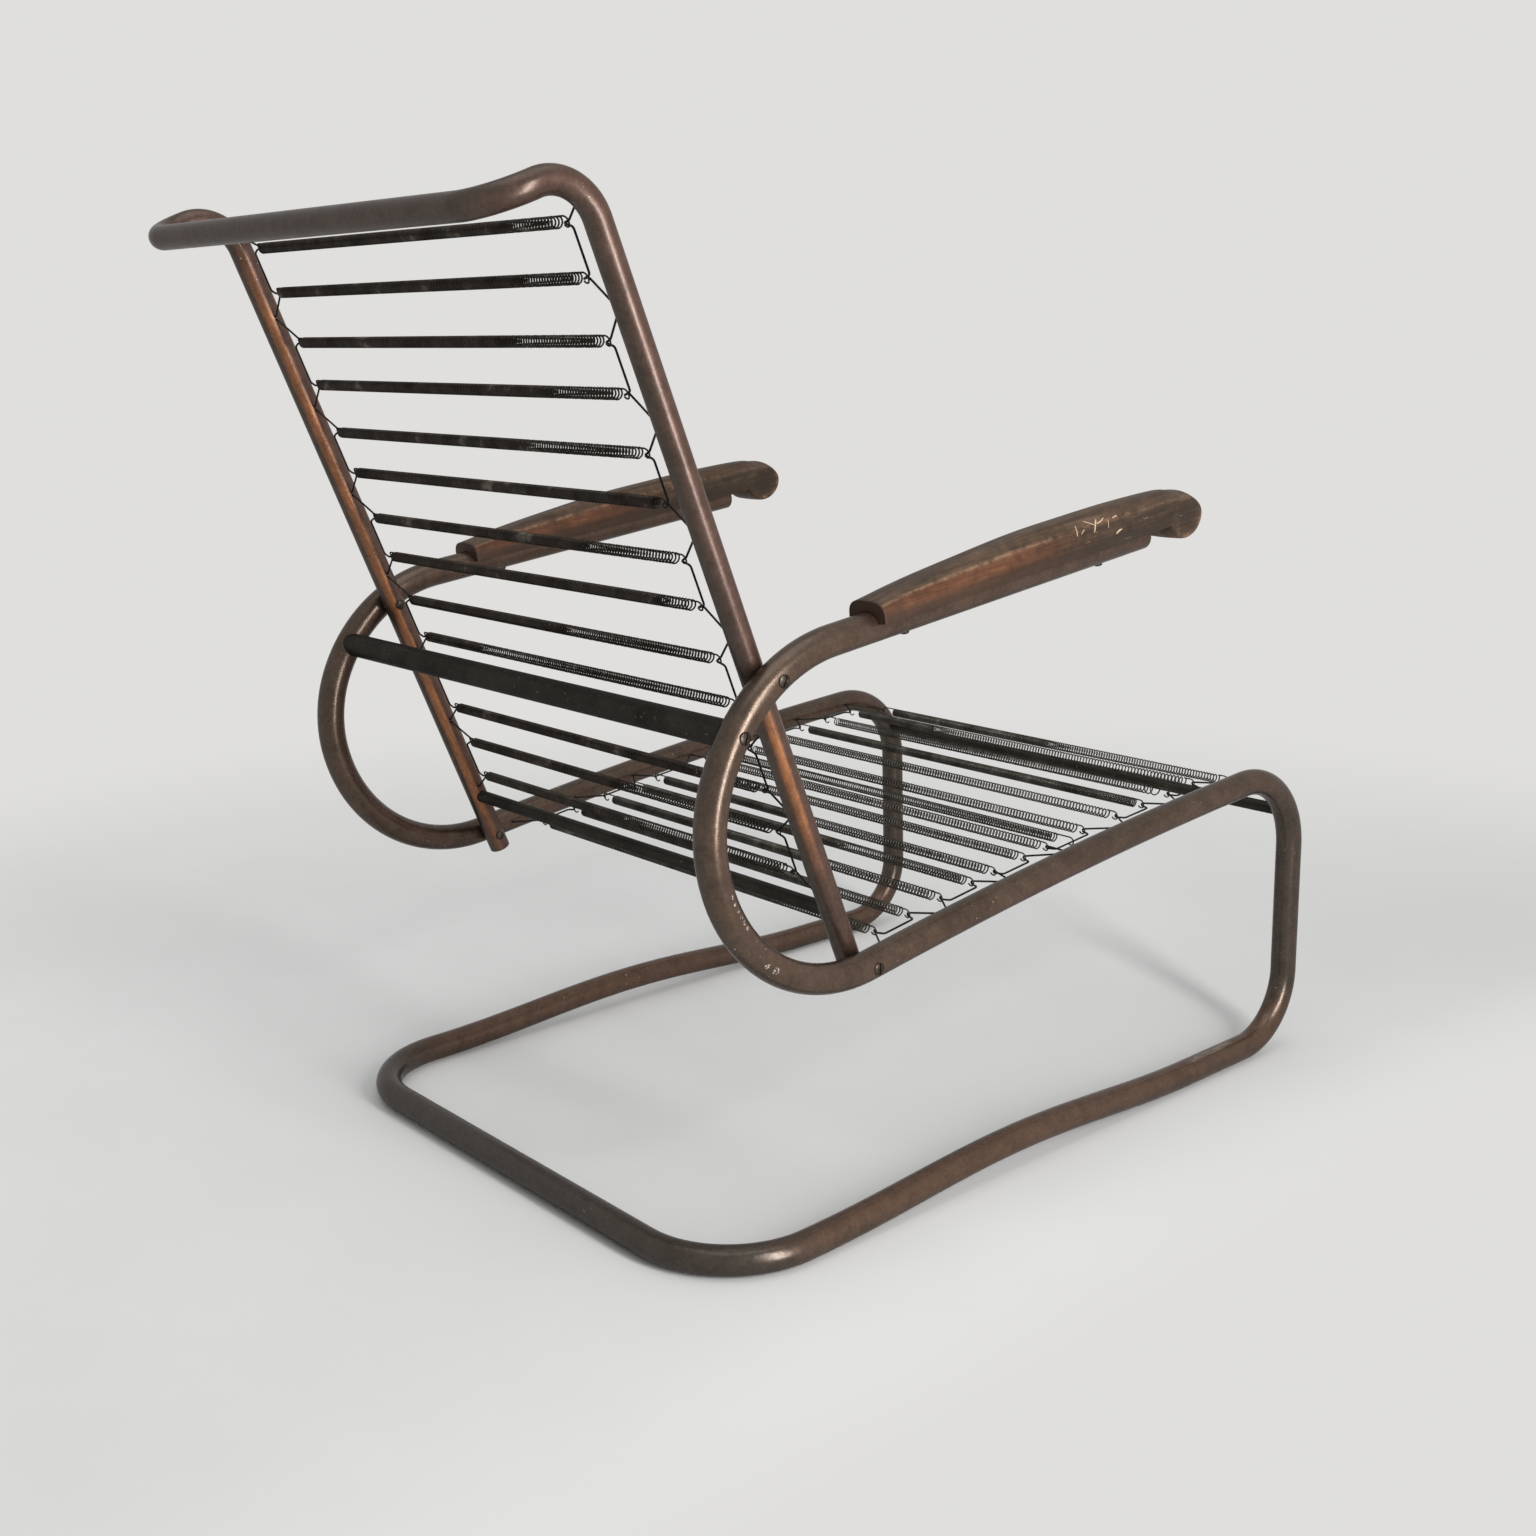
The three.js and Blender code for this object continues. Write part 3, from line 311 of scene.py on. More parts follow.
def brown_lacquer(name, dark, middle, light, gloss, sides, highlight_lengths):
    """Brown bronze lacquer on tube: mottled, streaked along the tube, greyer on the rear floor bar and the front legs,
    pitted, and chipped to pale steel in specks.
    Painted light: the runners are redder on top, in a lighter tone that is painted top light, with a pale painted
    highlight along the near runner's top; the side facing the front and outward is tinted redder and the other side
    greyer; and on each given length a narrow coppery painted highlight runs along the side facing between the camera
    and the lamp."""
    made = Finish(name)
    here = made.place()
    x, y, z = made.node("ShaderNodeSeparateXYZ", {0: here}).outputs
    travel = made.parts("tube_spot")[0]
    streak = made.noise(made.place(scale=(16, 150, 150), attribute="tube_spot"), 2.0, 5.0, 0.7)
    cloud = made.noise(here, 15.0, 6.0, 0.7)
    tone = made.ramp(cloud, (0.3, dark), (0.5, middle), (0.72, light))
    copper = made.math("MULTIPLY", made.band(streak, 0.54, 0.7), made.band(made.noise(here, 7.0, 3.0), 0.44, 0.62))
    tone = made.mix(made.math("MULTIPLY", copper, 0.3), tone, (0.15, 0.078, 0.046))
    outward = made.node("ShaderNodeAttribute", attribute_name="outward").outputs["Vector"]
    # Painted highlight: how squarely the tube faces the highlight's side, then on each given length a narrow coppery
    # strip where it faces it most
    highlight_facing = made.node("ShaderNodeVectorMath", {0: outward, 1: HIGHLIGHT_SIDE}, operation="DOT_PRODUCT").outputs["Value"]
    for low, high in highlight_lengths:
        inside = made.math("MULTIPLY", made.band(travel, low, low + 0.09), made.band(travel, high, high - 0.09))
        strip = made.math("MULTIPLY", inside, made.band(highlight_facing, 0.8, 0.985))
        painted_highlight = made.math("MULTIPLY", strip, made.math("ADD", made.math("MULTIPLY", made.band(streak, 0.4, 0.6), 0.4), 0.5))
        tone = made.mix(painted_highlight, tone, (0.34, 0.13, 0.05))
    # Painted light: the side facing the front and outward is tinted redder, and the other side, where the lamp's
    # highlight falls, greyer
    front_side = made.node("ShaderNodeVectorMath", {0: outward, 1: FRONT_SIDE}, operation="DOT_PRODUCT").outputs["Value"]
    tone = made.mix(made.math("MULTIPLY", made.band(front_side, 0.35, 0.9), sides), tone, (0.115, 0.058, 0.042))
    tone = made.mix(made.math("MULTIPLY", made.band(front_side, 0.3, -0.5), sides), tone, (0.058, 0.049, 0.04))
    low_down = made.band(z, 0.07, 0.035)
    grey = made.math("MAXIMUM", made.math("MULTIPLY", low_down, made.band(y, 0.19, 0.28)), made.math("MULTIPLY", made.band(y, -0.39, -0.44), 0.7))
    tone = made.mix(made.math("MULTIPLY", grey, 0.8), tone, (0.05, 0.041, 0.034))
    # Painted top light on a redder tone: the floor runners' tops turn a lighter red
    red = made.math("MULTIPLY", made.math("MULTIPLY", low_down, made.band(y, 0.27, 0.17)), made.band(z, 0.01, 0.022))
    tone = made.mix(made.math("MULTIPLY", red, 0.5), tone, (0.12, 0.064, 0.04))
    mottle = made.ramp(made.noise(here, 300.0, 3.0, 0.7), (0.32, 0.82), (0.68, 1.14))
    tone = made.mix(1.0, tone, mottle, "MULTIPLY")
    grime = made.ramp(made.noise(here, 60.0, 5.0, 0.75), (0.34, 0.78), (0.56, 1.0))
    tone = made.mix(1.0, tone, grime, "MULTIPLY")
    where = made.band(made.noise(here, 12.0, 2.0, 0.5), 0.56, 0.68)
    chip = made.math("MULTIPLY", made.band(made.noise(here, 430.0, 2.0, 0.5), 0.715, 0.74), where)
    flat, fleck = made.place(scale=(0, 1, 1)), made.band(made.noise(here, 640.0, 3.0, 0.6), 0.52, 0.58)
    for spot_y, spot_z, size in GLINTS:
        away = made.node("ShaderNodeVectorMath", {0: flat, 1: (0, spot_y, spot_z)}, operation="DISTANCE").outputs["Value"]
        near = made.math("MULTIPLY", made.band(away, size, size * 0.6), made.band(x, -0.2815, -0.284))
        chip = made.math("MAXIMUM", chip, made.math("MULTIPLY", near, fleck))
    # Painted highlight: a pale strip along the top of the near runner
    runner_top_highlight = made.math("MULTIPLY", made.band(y, -0.366, -0.356), made.band(y, -0.283, -0.295))
    runner_top_highlight = made.math("MULTIPLY", runner_top_highlight, made.math("MULTIPLY", made.band(z, 0.0232, 0.0244), made.band(z, 0.05, 0.04)))
    runner_top_highlight = made.math("MULTIPLY", runner_top_highlight, made.math("MULTIPLY", made.band(x, -0.2785, -0.281), made.band(streak, 0.38, 0.56)))
    tone = made.mix(made.math("MULTIPLY", runner_top_highlight, 0.6), tone, (0.3, 0.26, 0.22))
    tone = made.mix(chip, tone, (0.6, 0.53, 0.46))
    pits = made.noise(here, 760.0, 3.0, 0.6)
    rough = made.ramp(made.noise(here, 52.0, 6.0, 0.75), (0.3, gloss[0]), (0.72, gloss[1]))
    made.bump(made.math("ADD", pits, made.noise(here, 210.0, 3.0)), 0.25, 0.0004)
    return made.set(color=tone, metal=0.62, rough=rough, coat=0.3, coat_rough=0.25, edge=(0.32, 0.3, 0.28, 1.0))


def dark_bar():
    """Brown-black oxidised steel of the crossbars; the arm tubes' end plugs are drawn in the brown lacquer."""
    made = Finish("dark_oxidised_steel")
    here = made.place()
    tone = made.ramp(made.noise(here, 26.0, 5.0, 0.65), (0.3, (0.018, 0.016, 0.013)), (0.7, (0.042, 0.037, 0.03)))
    speck = made.band(made.noise(here, 300.0, 2.0, 0.5), 0.68, 0.74)
    tone = made.mix(speck, tone, (0.12, 0.1, 0.08))
    made.bump(made.noise(here, 260.0, 3.0), 0.25, 0.0004)
    rough = made.ramp(made.noise(here, 60.0), (0.3, 0.4), (0.7, 0.56))
    return made.set(color=tone, metal=0.7, rough=rough, edge=(0.3, 0.3, 0.3, 1.0))


def spring_steel():
    """Spring wire: brown-black across the back, and lighter grey on the seat, a painted stand-in for the highlights on
    the seat springs' turns.
    """
    made = Finish("dark_spring_steel")
    here = made.place()
    back = made.ramp(made.noise(here, 45.0, 4.0, 0.65), (0.35, (0.026, 0.021, 0.018)), (0.6, (0.05, 0.042, 0.036)), (0.74, (0.16, 0.14, 0.12)))
    # Painted light: the seat's copy of the wire is lighter, for the highlights on the seat springs' turns
    seat = made.ramp(made.noise(here, 45.0, 4.0, 0.65), (0.35, (0.038, 0.034, 0.029)), (0.6, (0.082, 0.075, 0.065)), (0.78, (0.2, 0.185, 0.162)))
    forward = made.node("ShaderNodeSeparateXYZ", {0: here}).outputs[1]
    tone = made.mix(made.band(forward, 0.2, 0.13), back, seat)
    rough = made.ramp(made.noise(here, 120.0), (0.3, 0.28), (0.7, 0.42))
    return made.set(color=tone, metal=0.9, rough=rough, edge=(0.3, 0.3, 0.3, 1.0))


def black_wire():
    """Black bent wire that holds the springs."""
    made = Finish("black_bent_wire")
    here = made.place()
    tone = made.ramp(made.noise(here, 60.0, 4.0, 0.65), (0.35, (0.008, 0.0075, 0.007)), (0.7, (0.032, 0.028, 0.024)))
    rough = made.ramp(made.noise(here, 150.0), (0.3, 0.4), (0.7, 0.6))
    return made.set(color=tone, metal=0.6, rough=rough, edge=(0.3, 0.3, 0.3, 1.0))


def screw_steel():
    """Old screw heads of brown steel, lighter and darker in random patches."""
    made = Finish("old_screw_steel")
    here = made.place()
    tone = made.ramp(made.noise(here, 260.0, 4.0, 0.7), (0.3, (0.02, 0.015, 0.012)), (0.55, (0.055, 0.042, 0.034)), (0.78, (0.14, 0.115, 0.095)))
    made.bump(made.noise(here, 500.0, 3.0), 0.3, 0.0003)
    rough = made.ramp(made.noise(here, 200.0), (0.3, 0.36), (0.7, 0.54))
    return made.set(color=tone, metal=0.85, rough=rough, edge=(0.4, 0.4, 0.4, 1.0))


def wood_wear_and_painted_light():
    """Stained wood with its grain along the arm: reddish sides, a greyed crown, and scratches. Painted shade darkens
    the sides towards the nose, along their lower strip and in the middle of the nose's cheeks; the pale lines on the
    shoulders and round the nose's rim are painted highlights."""
    made = Finish("stained_wood_wear_and_painted_light")
    a, b, z = made.parts("arm_spot")
    grain = made.noise(made.place(scale=(9, 170, 170), attribute="arm_spot"), 1.0, 7.0, 0.7, 0.35)
    fine = made.noise(made.place(scale=(16, 420, 420), attribute="arm_spot"), 1.0, 4.0, 0.6)
    here = made.place()
    near = made.band(made.node("ShaderNodeSeparateXYZ", {0: here}).outputs[0], 0.1, 0.0)
    cloud = made.noise(here, 26.0, 5.0, 0.65)
    blot = made.noise(here, 110.0, 5.0, 0.7)
    width = made.math("ABSOLUTE", z)
    side = made.band(width, 0.0148, 0.0176)
    front = made.band(made.math("ADD", a, made.math("MULTIPLY", cloud, 0.12)), -0.13, 0.0)
    red = made.ramp(grain, (0.28, (0.034, 0.013, 0.006)), (0.5, (0.086, 0.034, 0.016)), (0.74, (0.148, 0.063, 0.031)))
    dark = made.ramp(grain, (0.28, (0.019, 0.012, 0.0075)), (0.5, (0.041, 0.026, 0.0165)), (0.74, (0.08, 0.052, 0.033)))
    grey = made.ramp(grain, (0.28, (0.034, 0.02, 0.0125)), (0.5, (0.067, 0.041, 0.026)), (0.74, (0.12, 0.077, 0.05)))
    # Painted shade: towards the nose the sides turn to the dark tone; the crown stays grey-brown
    tone = made.mix(side, grey, made.mix(front, red, dark))
    uneven = made.ramp(cloud, (0.3, 0.7), (0.7, 1.2))
    tone = made.mix(1.0, tone, uneven, "MULTIPLY")
    stains = made.ramp(blot, (0.32, 0.68), (0.6, 1.08))
    tone = made.mix(1.0, tone, stains, "MULTIPLY")
    rim_at = made.node("ShaderNodeVectorMath", {0: made.place(scale=(1, 24 / 21, 0), attribute="arm_spot"), 1: (0.0485, 0.0114, 0)},
                       operation="DISTANCE").outputs["Value"]
    # Painted shade: the nose's cheeks darken in their middle
    middle = made.math("MULTIPLY", made.band(rim_at, 0.017, 0.008), side)
    tone = made.mix(made.math("MULTIPLY", middle, 0.55), tone, (0.02, 0.0135, 0.0095))
    # Painted shade: the sides darken along their lower strip
    lower_edge_shade = made.math("MULTIPLY", made.math("MULTIPLY", side, made.band(b, 0.0155, 0.0095)), made.band(a, 0.024, 0.01))
    tone = made.mix(made.math("MULTIPLY", lower_edge_shade, 0.75), tone, (0.022, 0.015, 0.011))
    # Painted highlights: pale lines along the shoulders and round the nose's rim, broken up by blots and grain
    shoulder_and_rim_highlight = made.math("MULTIPLY", made.band(width, 0.0146, 0.0158), made.band(width, 0.0171, 0.016))
    rim = made.math("MULTIPLY", made.band(rim_at, 0.0165, 0.0195), made.band(b, 0.024, 0.014))
    rim = made.math("MULTIPLY", rim, made.band(a, 0.03, 0.045))
    shoulder_and_rim_highlight = made.math("MAXIMUM", made.math("MULTIPLY", shoulder_and_rim_highlight, made.band(a, 0.02, -0.06)), rim)
    shoulder_and_rim_highlight = made.math("MULTIPLY", shoulder_and_rim_highlight, made.math("MULTIPLY", made.band(blot, 0.36, 0.62), made.band(grain, 0.3, 0.55)))
    tone = made.mix(made.math("MULTIPLY", shoulder_and_rim_highlight, 0.6), tone, (0.22, 0.125, 0.074))
    tone = made.mix(made.ramp(fine, (0.34, 0.6), (0.52, 1.0)), (0.03, 0.019, 0.013), tone)
    ends = made.band(a, -0.3275, -0.3288)
    tone = made.mix(made.math("MULTIPLY", ends, 0.8), tone, (0.05, 0.024, 0.018))
    nicks = 0.0
    for spot_a, spot_b, turn, length, half in SCRATCHES:
        spot = made.node("ShaderNodeMapping", {"Vector": made.node("ShaderNodeAttribute", attribute_name="arm_spot").outputs["Vector"],
                         "Location": (spot_a, spot_b, 0), "Rotation": (0, 0, turn), "Scale": (length, half, 1)}, vector_type="TEXTURE")
        along, across, _ = made.node("ShaderNodeSeparateXYZ", {0: spot.outputs[0]}).outputs
        across = made.math("ADD", across, made.math("MULTIPLY", made.math("SUBTRACT", blot, 0.5), 5.0))
        inside = made.math("MULTIPLY", made.band(made.math("ABSOLUTE", along), 1.0, 0.6), made.band(made.math("ABSOLUTE", across), 1.0, 0.4))
        nicks = made.math("MAXIMUM", nicks, inside)
    hair = made.noise(made.place(scale=(60, 600, 600), turn=(0, 0.4, 0.3), attribute="arm_spot"), 1.0, 2.0, 0.5, 0.2)
    hair = made.math("MULTIPLY", made.band(hair, 0.72, 0.74), made.math("MULTIPLY", made.band(a, -0.2, -0.1), 0.3))
    nicks = made.math("MULTIPLY", made.math("MULTIPLY", made.math("MAXIMUM", nicks, hair), made.band(z, 0.004, 0.008)), near)
    tone = made.mix(nicks, tone, (0.4, 0.29, 0.19))
    made.bump(made.math("ADD", made.math("ADD", grain, fine), blot), 0.3, 0.0005)
    rough = made.ramp(cloud, (0.3, 0.46), (0.7, 0.62))
    return made.set(color=tone, rough=rough, specular=0.16)


LACQUER = brown_lacquer("brown_lacquer_wear_and_painted_light", (0.057, 0.0372, 0.0252), (0.0735, 0.0478, 0.0325), (0.092, 0.0597, 0.0405),
                        (0.2, 0.36), 0.3, ())
BACK_LACQUER = brown_lacquer("brown_lacquer_wear_and_painted_highlights", (0.056, 0.0335, 0.0245), (0.074, 0.0445, 0.0335), (0.095, 0.057, 0.0435),
                             (0.3, 0.46), 0.5, ((0.08, 0.3), (1.27, 1.95)))
DARK_BAR = dark_bar()
SPRING = spring_steel()
WIRE = black_wire()
SCREW = screw_steel()
WOOD = wood_wear_and_painted_light()


# Geometry Nodes
def new_tree(name, inputs):
    tree = bpy.data.node_groups.new(name, "GeometryNodeTree")
    tree.interface.new_socket("Geometry", in_out="INPUT", socket_type="NodeSocketGeometry")
    for label, kind, value in inputs:
        socket = tree.interface.new_socket(label, in_out="INPUT", socket_type=kind)
        if value is not None:
            socket.default_value = value
    tree.interface.new_socket("Geometry", in_out="OUTPUT", socket_type="NodeSocketGeometry")
    start = tree.nodes.new("NodeGroupInput")
    end = tree.nodes.new("NodeGroupOutput")

    def node(kind, links=None, **settings):
        made = tree.nodes.new(kind)
        for key, value in settings.items():
            setattr(made, key, value)
        for socket, source in (links or {}).items():
            if isinstance(source, bpy.types.NodeSocket):
                tree.links.new(source, made.inputs[socket])
            else:
                made.inputs[socket].default_value = source
        return made

    return tree, node, start, end


def value(node, operation, first, second=0.0):
    return node("ShaderNodeMath", {0: first, 1: second}, operation=operation).outputs[0]


def tube_tree():
    """Draws a round section along each line of points. Each point's girth scales the section."""
    tree, node, start, end = new_tree("bent_round_bar", [
        ("Radius", "NodeSocketFloat", 0.01), ("Sides", "NodeSocketInt", 24), ("Material", "NodeSocketMaterial", None)])
    curve = node("GeometryNodeMeshToCurve", {0: start.outputs["Geometry"]})
    girth = node("GeometryNodeInputNamedAttribute", {"Name": "girth"}, data_type="FLOAT")
    sized = node("GeometryNodeSetCurveRadius", {"Curve": curve.outputs[0], "Radius": girth.outputs["Attribute"]})
    caught = node("GeometryNodeCaptureAttribute", {"Geometry": sized.outputs[0]}, domain="POINT")
    caught.capture_items.new("FLOAT", "Along")
    tree.links.new(node("GeometryNodeSplineParameter").outputs["Length"], caught.inputs["Along"])
    section = node("GeometryNodeCurvePrimitiveCircle", {"Resolution": start.outputs["Sides"], "Radius": start.outputs["Radius"]})
    ring = node("GeometryNodeCaptureAttribute", {"Geometry": section.outputs[0]}, domain="POINT")
    ring.capture_items.new("VECTOR", "Around")
    tree.links.new(node("GeometryNodeInputPosition").outputs[0], ring.inputs["Around"])
    bar = node("GeometryNodeCurveToMesh", {"Curve": caught.outputs["Geometry"], "Profile Curve": ring.outputs["Geometry"], "Fill Caps": True})
    around = node("ShaderNodeSeparateXYZ", {0: ring.outputs["Around"]})
    spot = node("ShaderNodeCombineXYZ", {0: caught.outputs["Along"], 1: around.outputs[0], 2: around.outputs[1]})
    stored = node("GeometryNodeStoreNamedAttribute", {"Geometry": bar.outputs[0], "Name": "tube_spot", "Value": spot.outputs[0]},
                  data_type="FLOAT_VECTOR", domain="POINT")
    outward = node("GeometryNodeStoreNamedAttribute", {"Geometry": stored.outputs[0], "Name": "outward", "Value": node("GeometryNodeInputNormal").outputs[0]},
                   data_type="FLOAT_VECTOR", domain="POINT")
    real = node("GeometryNodeRealizeInstances", {0: outward.outputs[0]})
    dressed = node("GeometryNodeSetMaterial", {"Geometry": real.outputs[0], "Material": start.outputs["Material"]})
    tree.links.new(dressed.outputs[0], end.inputs[0])
    return tree


def spring_tree():
    """Winds a spring's wire along X. The turns start apart, stretched further at the very end,
    close up softly after the open turns, and the same wire is drawn along the hook lines."""
    tree, node, start, end = new_tree("wound_spring", [
        ("Turns", "NodeSocketInt", 100), ("Close Pitch", "NodeSocketFloat", 0.0015), ("Open Extra", "NodeSocketFloat", 0.002),
        ("Open Turns", "NodeSocketFloat", 10.0), ("Blend Turns", "NodeSocketFloat", 3.0), ("Blend Start", "NodeSocketFloat", 0.0),
        ("End Stretch", "NodeSocketFloat", 0.0), ("Stretch Turns", "NodeSocketFloat", 10.0),
        ("Coil Radius", "NodeSocketFloat", 0.004), ("Wire Radius", "NodeSocketFloat", 0.0007), ("Steps", "NodeSocketInt", 12),
        ("Sides", "NodeSocketInt", 5), ("Material", "NodeSocketMaterial", None)])
    given = start.outputs
    count = value(node, "ADD", value(node, "MULTIPLY", given["Turns"], given["Steps"]), 1.0)
    line = node("GeometryNodeMeshLine", {"Count": count}, mode="OFFSET")
    turn = value(node, "DIVIDE", node("GeometryNodeInputIndex").outputs[0], given["Steps"])
    past = value(node, "DIVIDE", value(node, "SUBTRACT", turn, given["Open Turns"]), given["Blend Turns"])
    fall = value(node, "EXPONENT", value(node, "MULTIPLY", value(node, "ABSOLUTE", past), -1.0))
    soft = value(node, "ADD", value(node, "MAXIMUM", past, 0.0), value(node, "LOGARITHM", value(node, "ADD", fall, 1.0), math.e))
    closed = value(node, "MULTIPLY", value(node, "SUBTRACT", soft, given["Blend Start"]), given["Blend Turns"])
    opened = value(node, "MULTIPLY", value(node, "SUBTRACT", turn, closed), given["Open Extra"])
    decay = value(node, "EXPONENT", value(node, "MULTIPLY", value(node, "DIVIDE", turn, given["Stretch Turns"]), -1.0))
    pulled = value(node, "MULTIPLY", value(node, "SUBTRACT", 1.0, decay), given["End Stretch"])
    along = value(node, "ADD", value(node, "ADD", value(node, "MULTIPLY", turn, given["Close Pitch"]), opened), pulled)
    angle = value(node, "MULTIPLY", turn, 2 * math.pi)
    across = value(node, "MULTIPLY", value(node, "COSINE", angle), given["Coil Radius"])
    up = value(node, "MULTIPLY", value(node, "SINE", angle), given["Coil Radius"])
    place = node("ShaderNodeCombineXYZ", {0: along, 1: across, 2: up})
    coil = node("GeometryNodeSetPosition", {"Geometry": line.outputs[0], "Position": place.outputs[0]})
    lines = node("GeometryNodeJoinGeometry")
    tree.links.new(coil.outputs[0], lines.inputs[0])
    tree.links.new(given["Geometry"], lines.inputs[0])
    curve = node("GeometryNodeMeshToCurve", {0: lines.outputs[0]})
    section = node("GeometryNodeCurvePrimitiveCircle", {"Resolution": given["Sides"], "Radius": given["Wire Radius"]})
    wire = node("GeometryNodeCurveToMesh", {"Curve": curve.outputs[0], "Profile Curve": section.outputs[0], "Fill Caps": True})
    real = node("GeometryNodeRealizeInstances", {0: wire.outputs[0]})
    dressed = node("GeometryNodeSetMaterial", {"Geometry": real.outputs[0], "Material": given["Material"]})
    tree.links.new(dressed.outputs[0], end.inputs[0])
    return tree


def screw_tree():
    """Sets one head on each point, turned to the point's facing."""
    tree, node, start, end = new_tree("set_of_heads", [
        ("Head", "NodeSocketObject", None), ("Material", "NodeSocketMaterial", None)])
    head = node("GeometryNodeObjectInfo", {"Object": start.outputs["Head"]})
    facing = node("GeometryNodeInputNamedAttribute", {"Name": "facing"}, data_type="FLOAT_VECTOR")
    slot = node("GeometryNodeInputNamedAttribute", {"Name": "slot"}, data_type="FLOAT_VECTOR")
    aimed = node("FunctionNodeAlignRotationToVector", {"Vector": facing.outputs["Attribute"]}, axis="Z")
    turned = node("FunctionNodeAlignRotationToVector", {"Rotation": aimed.outputs[0], "Vector": slot.outputs["Attribute"]}, axis="X", pivot_axis="Z")
    set_heads = node("GeometryNodeInstanceOnPoints", {"Points": start.outputs["Geometry"], "Instance": head.outputs["Geometry"], "Rotation": turned.outputs[0]})
    real = node("GeometryNodeRealizeInstances", {0: set_heads.outputs[0]})
    dressed = node("GeometryNodeSetMaterial", {"Geometry": real.outputs[0], "Material": start.outputs["Material"]})
    tree.links.new(dressed.outputs[0], end.inputs[0])
    return tree


def grown(name, mesh, tree, sizes, sharp=40):
    """Runs a tree on a mesh with the given sizes and keeps the result as a plain mesh."""
    made = bpy.data.objects.new(name, mesh)
    bpy.context.scene.collection.objects.link(made)
    modifier = made.modifiers.new("grow", "NODES")
    modifier.node_group = tree
    for item in tree.interface.items_tree:
        if item.item_type == "SOCKET" and item.in_out == "INPUT" and item.name in sizes:
            modifier[item.identifier] = sizes[item.name]
    graph = bpy.context.evaluated_depsgraph_get()
    result = bpy.data.meshes.new_from_object(made.evaluated_get(graph), preserve_all_data_layers=True, depsgraph=graph)
    made.modifiers.clear()
    made.data = result
    result.name = name
    for face in result.polygons:
        face.use_smooth = True
    if sharp:
        result.set_sharp_from_angle(angle=math.radians(sharp))
    return made


TUBE_TREE = tube_tree()
SPRING_TREE = spring_tree()
SCREW_TREE = screw_tree()


def line_mesh(name, lines, girths=None):
    """A mesh of open lines, in metres, from lists of points in millimetres."""
    points, edges, girth = [], [], []
    for index, line in enumerate(lines):
        first = len(points)
        points.extend(point * MM for point in line)
        edges.extend((place, place + 1) for place in range(first, len(points) - 1))
        girth.extend(girths[index] if girths else [1.0] * len(line))
    mesh = bpy.data.meshes.new(name)
    mesh.from_pydata(points, edges, [])
    mesh.attributes.new("girth", "FLOAT", "POINT").data.foreach_set("value", girth)
    return mesh


def bar(name, points, radius, sides, material, nodes, girth=None, slot=None):
    mesh = line_mesh(name, [points], [girth] if girth else None)
    piece = grown(name, mesh, TUBE_TREE, {"Radius": radius * MM, "Sides": sides, "Material": material})
    return finished(piece, nodes)


def finished(piece, nodes):
    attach(piece, "root")
    if nodes:
        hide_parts(*nodes)
    return piece


def rounded_ends(path, radius, edge, start=True, end=True):
    """The path's points with extra ones near its ends, where the section draws in to a rounded edge."""
    points, girth = list(path.points), [1.0] * len(path.points)
    shares = [math.radians(90) * step / 4 for step in range(1, 5)]
    if end:
        tip, heading = points[-1], path.headings[-1]
        points[-1] = tip - heading * edge
        for angle in shares:
            points.append(tip - heading * edge * (1 - math.sin(angle)))
            girth.append(1 - edge / radius * (1 - math.cos(angle)))
    if start:
        tip, heading = points[0], path.headings[0]
        points[0] = tip + heading * edge
        for angle in shares:
            points.insert(0, tip + heading * edge * (1 - math.sin(angle)))
            girth.insert(0, 1 - edge / radius * (1 - math.cos(angle)))
    return points, girth


SIDES = (("right", NEAR), ("left", FAR))


def make_frame():
    for name, sign in SIDES:
        path = side_path(sign * HALF_WIDTH)
        points, girth = rounded_ends(path, FRAME_RADIUS, 0.7, end=False)
        bar(f"side_tube_{name}_bent", points, FRAME_RADIUS, 40, LACQUER, [f"side_tube_{name}"], girth, "frame_tube")
        tip, heading = path.points[-1], path.headings[-1]
        plug = BentPath(tip - heading * 0.1, heading)
        plug.line(PLUG_EDGE + 0.4)
        points, girth = rounded_ends(plug, FRAME_RADIUS, PLUG_EDGE, start=False)
        bar(f"arm_plug_{name}_rounded", points, FRAME_RADIUS, 40, LACQUER, [f"arm_plug_{name}"], girth, "dark_bar")
    path = BentPath(row(-HALF_WIDTH, JOINT_FROM_REAR, FRAME_RADIUS), Y)
    runner = JOINT_FROM_REAR - REAR_CORNER_RADIUS
    path.hump(runner, RUNNER_ARCH)
    path.arc(REAR_CORNER_RADIUS, -90, Z)
    path.line(2 * (HALF_WIDTH - REAR_CORNER_RADIUS), 8)
    path.arc(REAR_CORNER_RADIUS, -90, Z)
    path.hump(runner, RUNNER_ARCH)
    points, girth = rounded_ends(path, FRAME_RADIUS, 0.7)
    bar("base_tube_bent", points, FRAME_RADIUS, 40, LACQUER, ["base_tube"], girth, "frame_tube")
    points, girth = rounded_ends(BACK_PATH, BACK_RADIUS, 1.2)
    bar("back_tube_bent", points, BACK_RADIUS, 36, BACK_LACQUER, ["back_tube"], girth, "frame_tube")


def loop_point(turn):
    share = (turn - LOOP_LOWER[1] - LOOP_REAR[1]) / LOOP_UPPER_TURN
    return MID_PATH.at(MID_PATH.loop_upper + (MID_PATH.loop_end - MID_PATH.loop_upper) * share)[0]


REAR_BAR_POINT = loop_point(REAR_BAR_TURN)


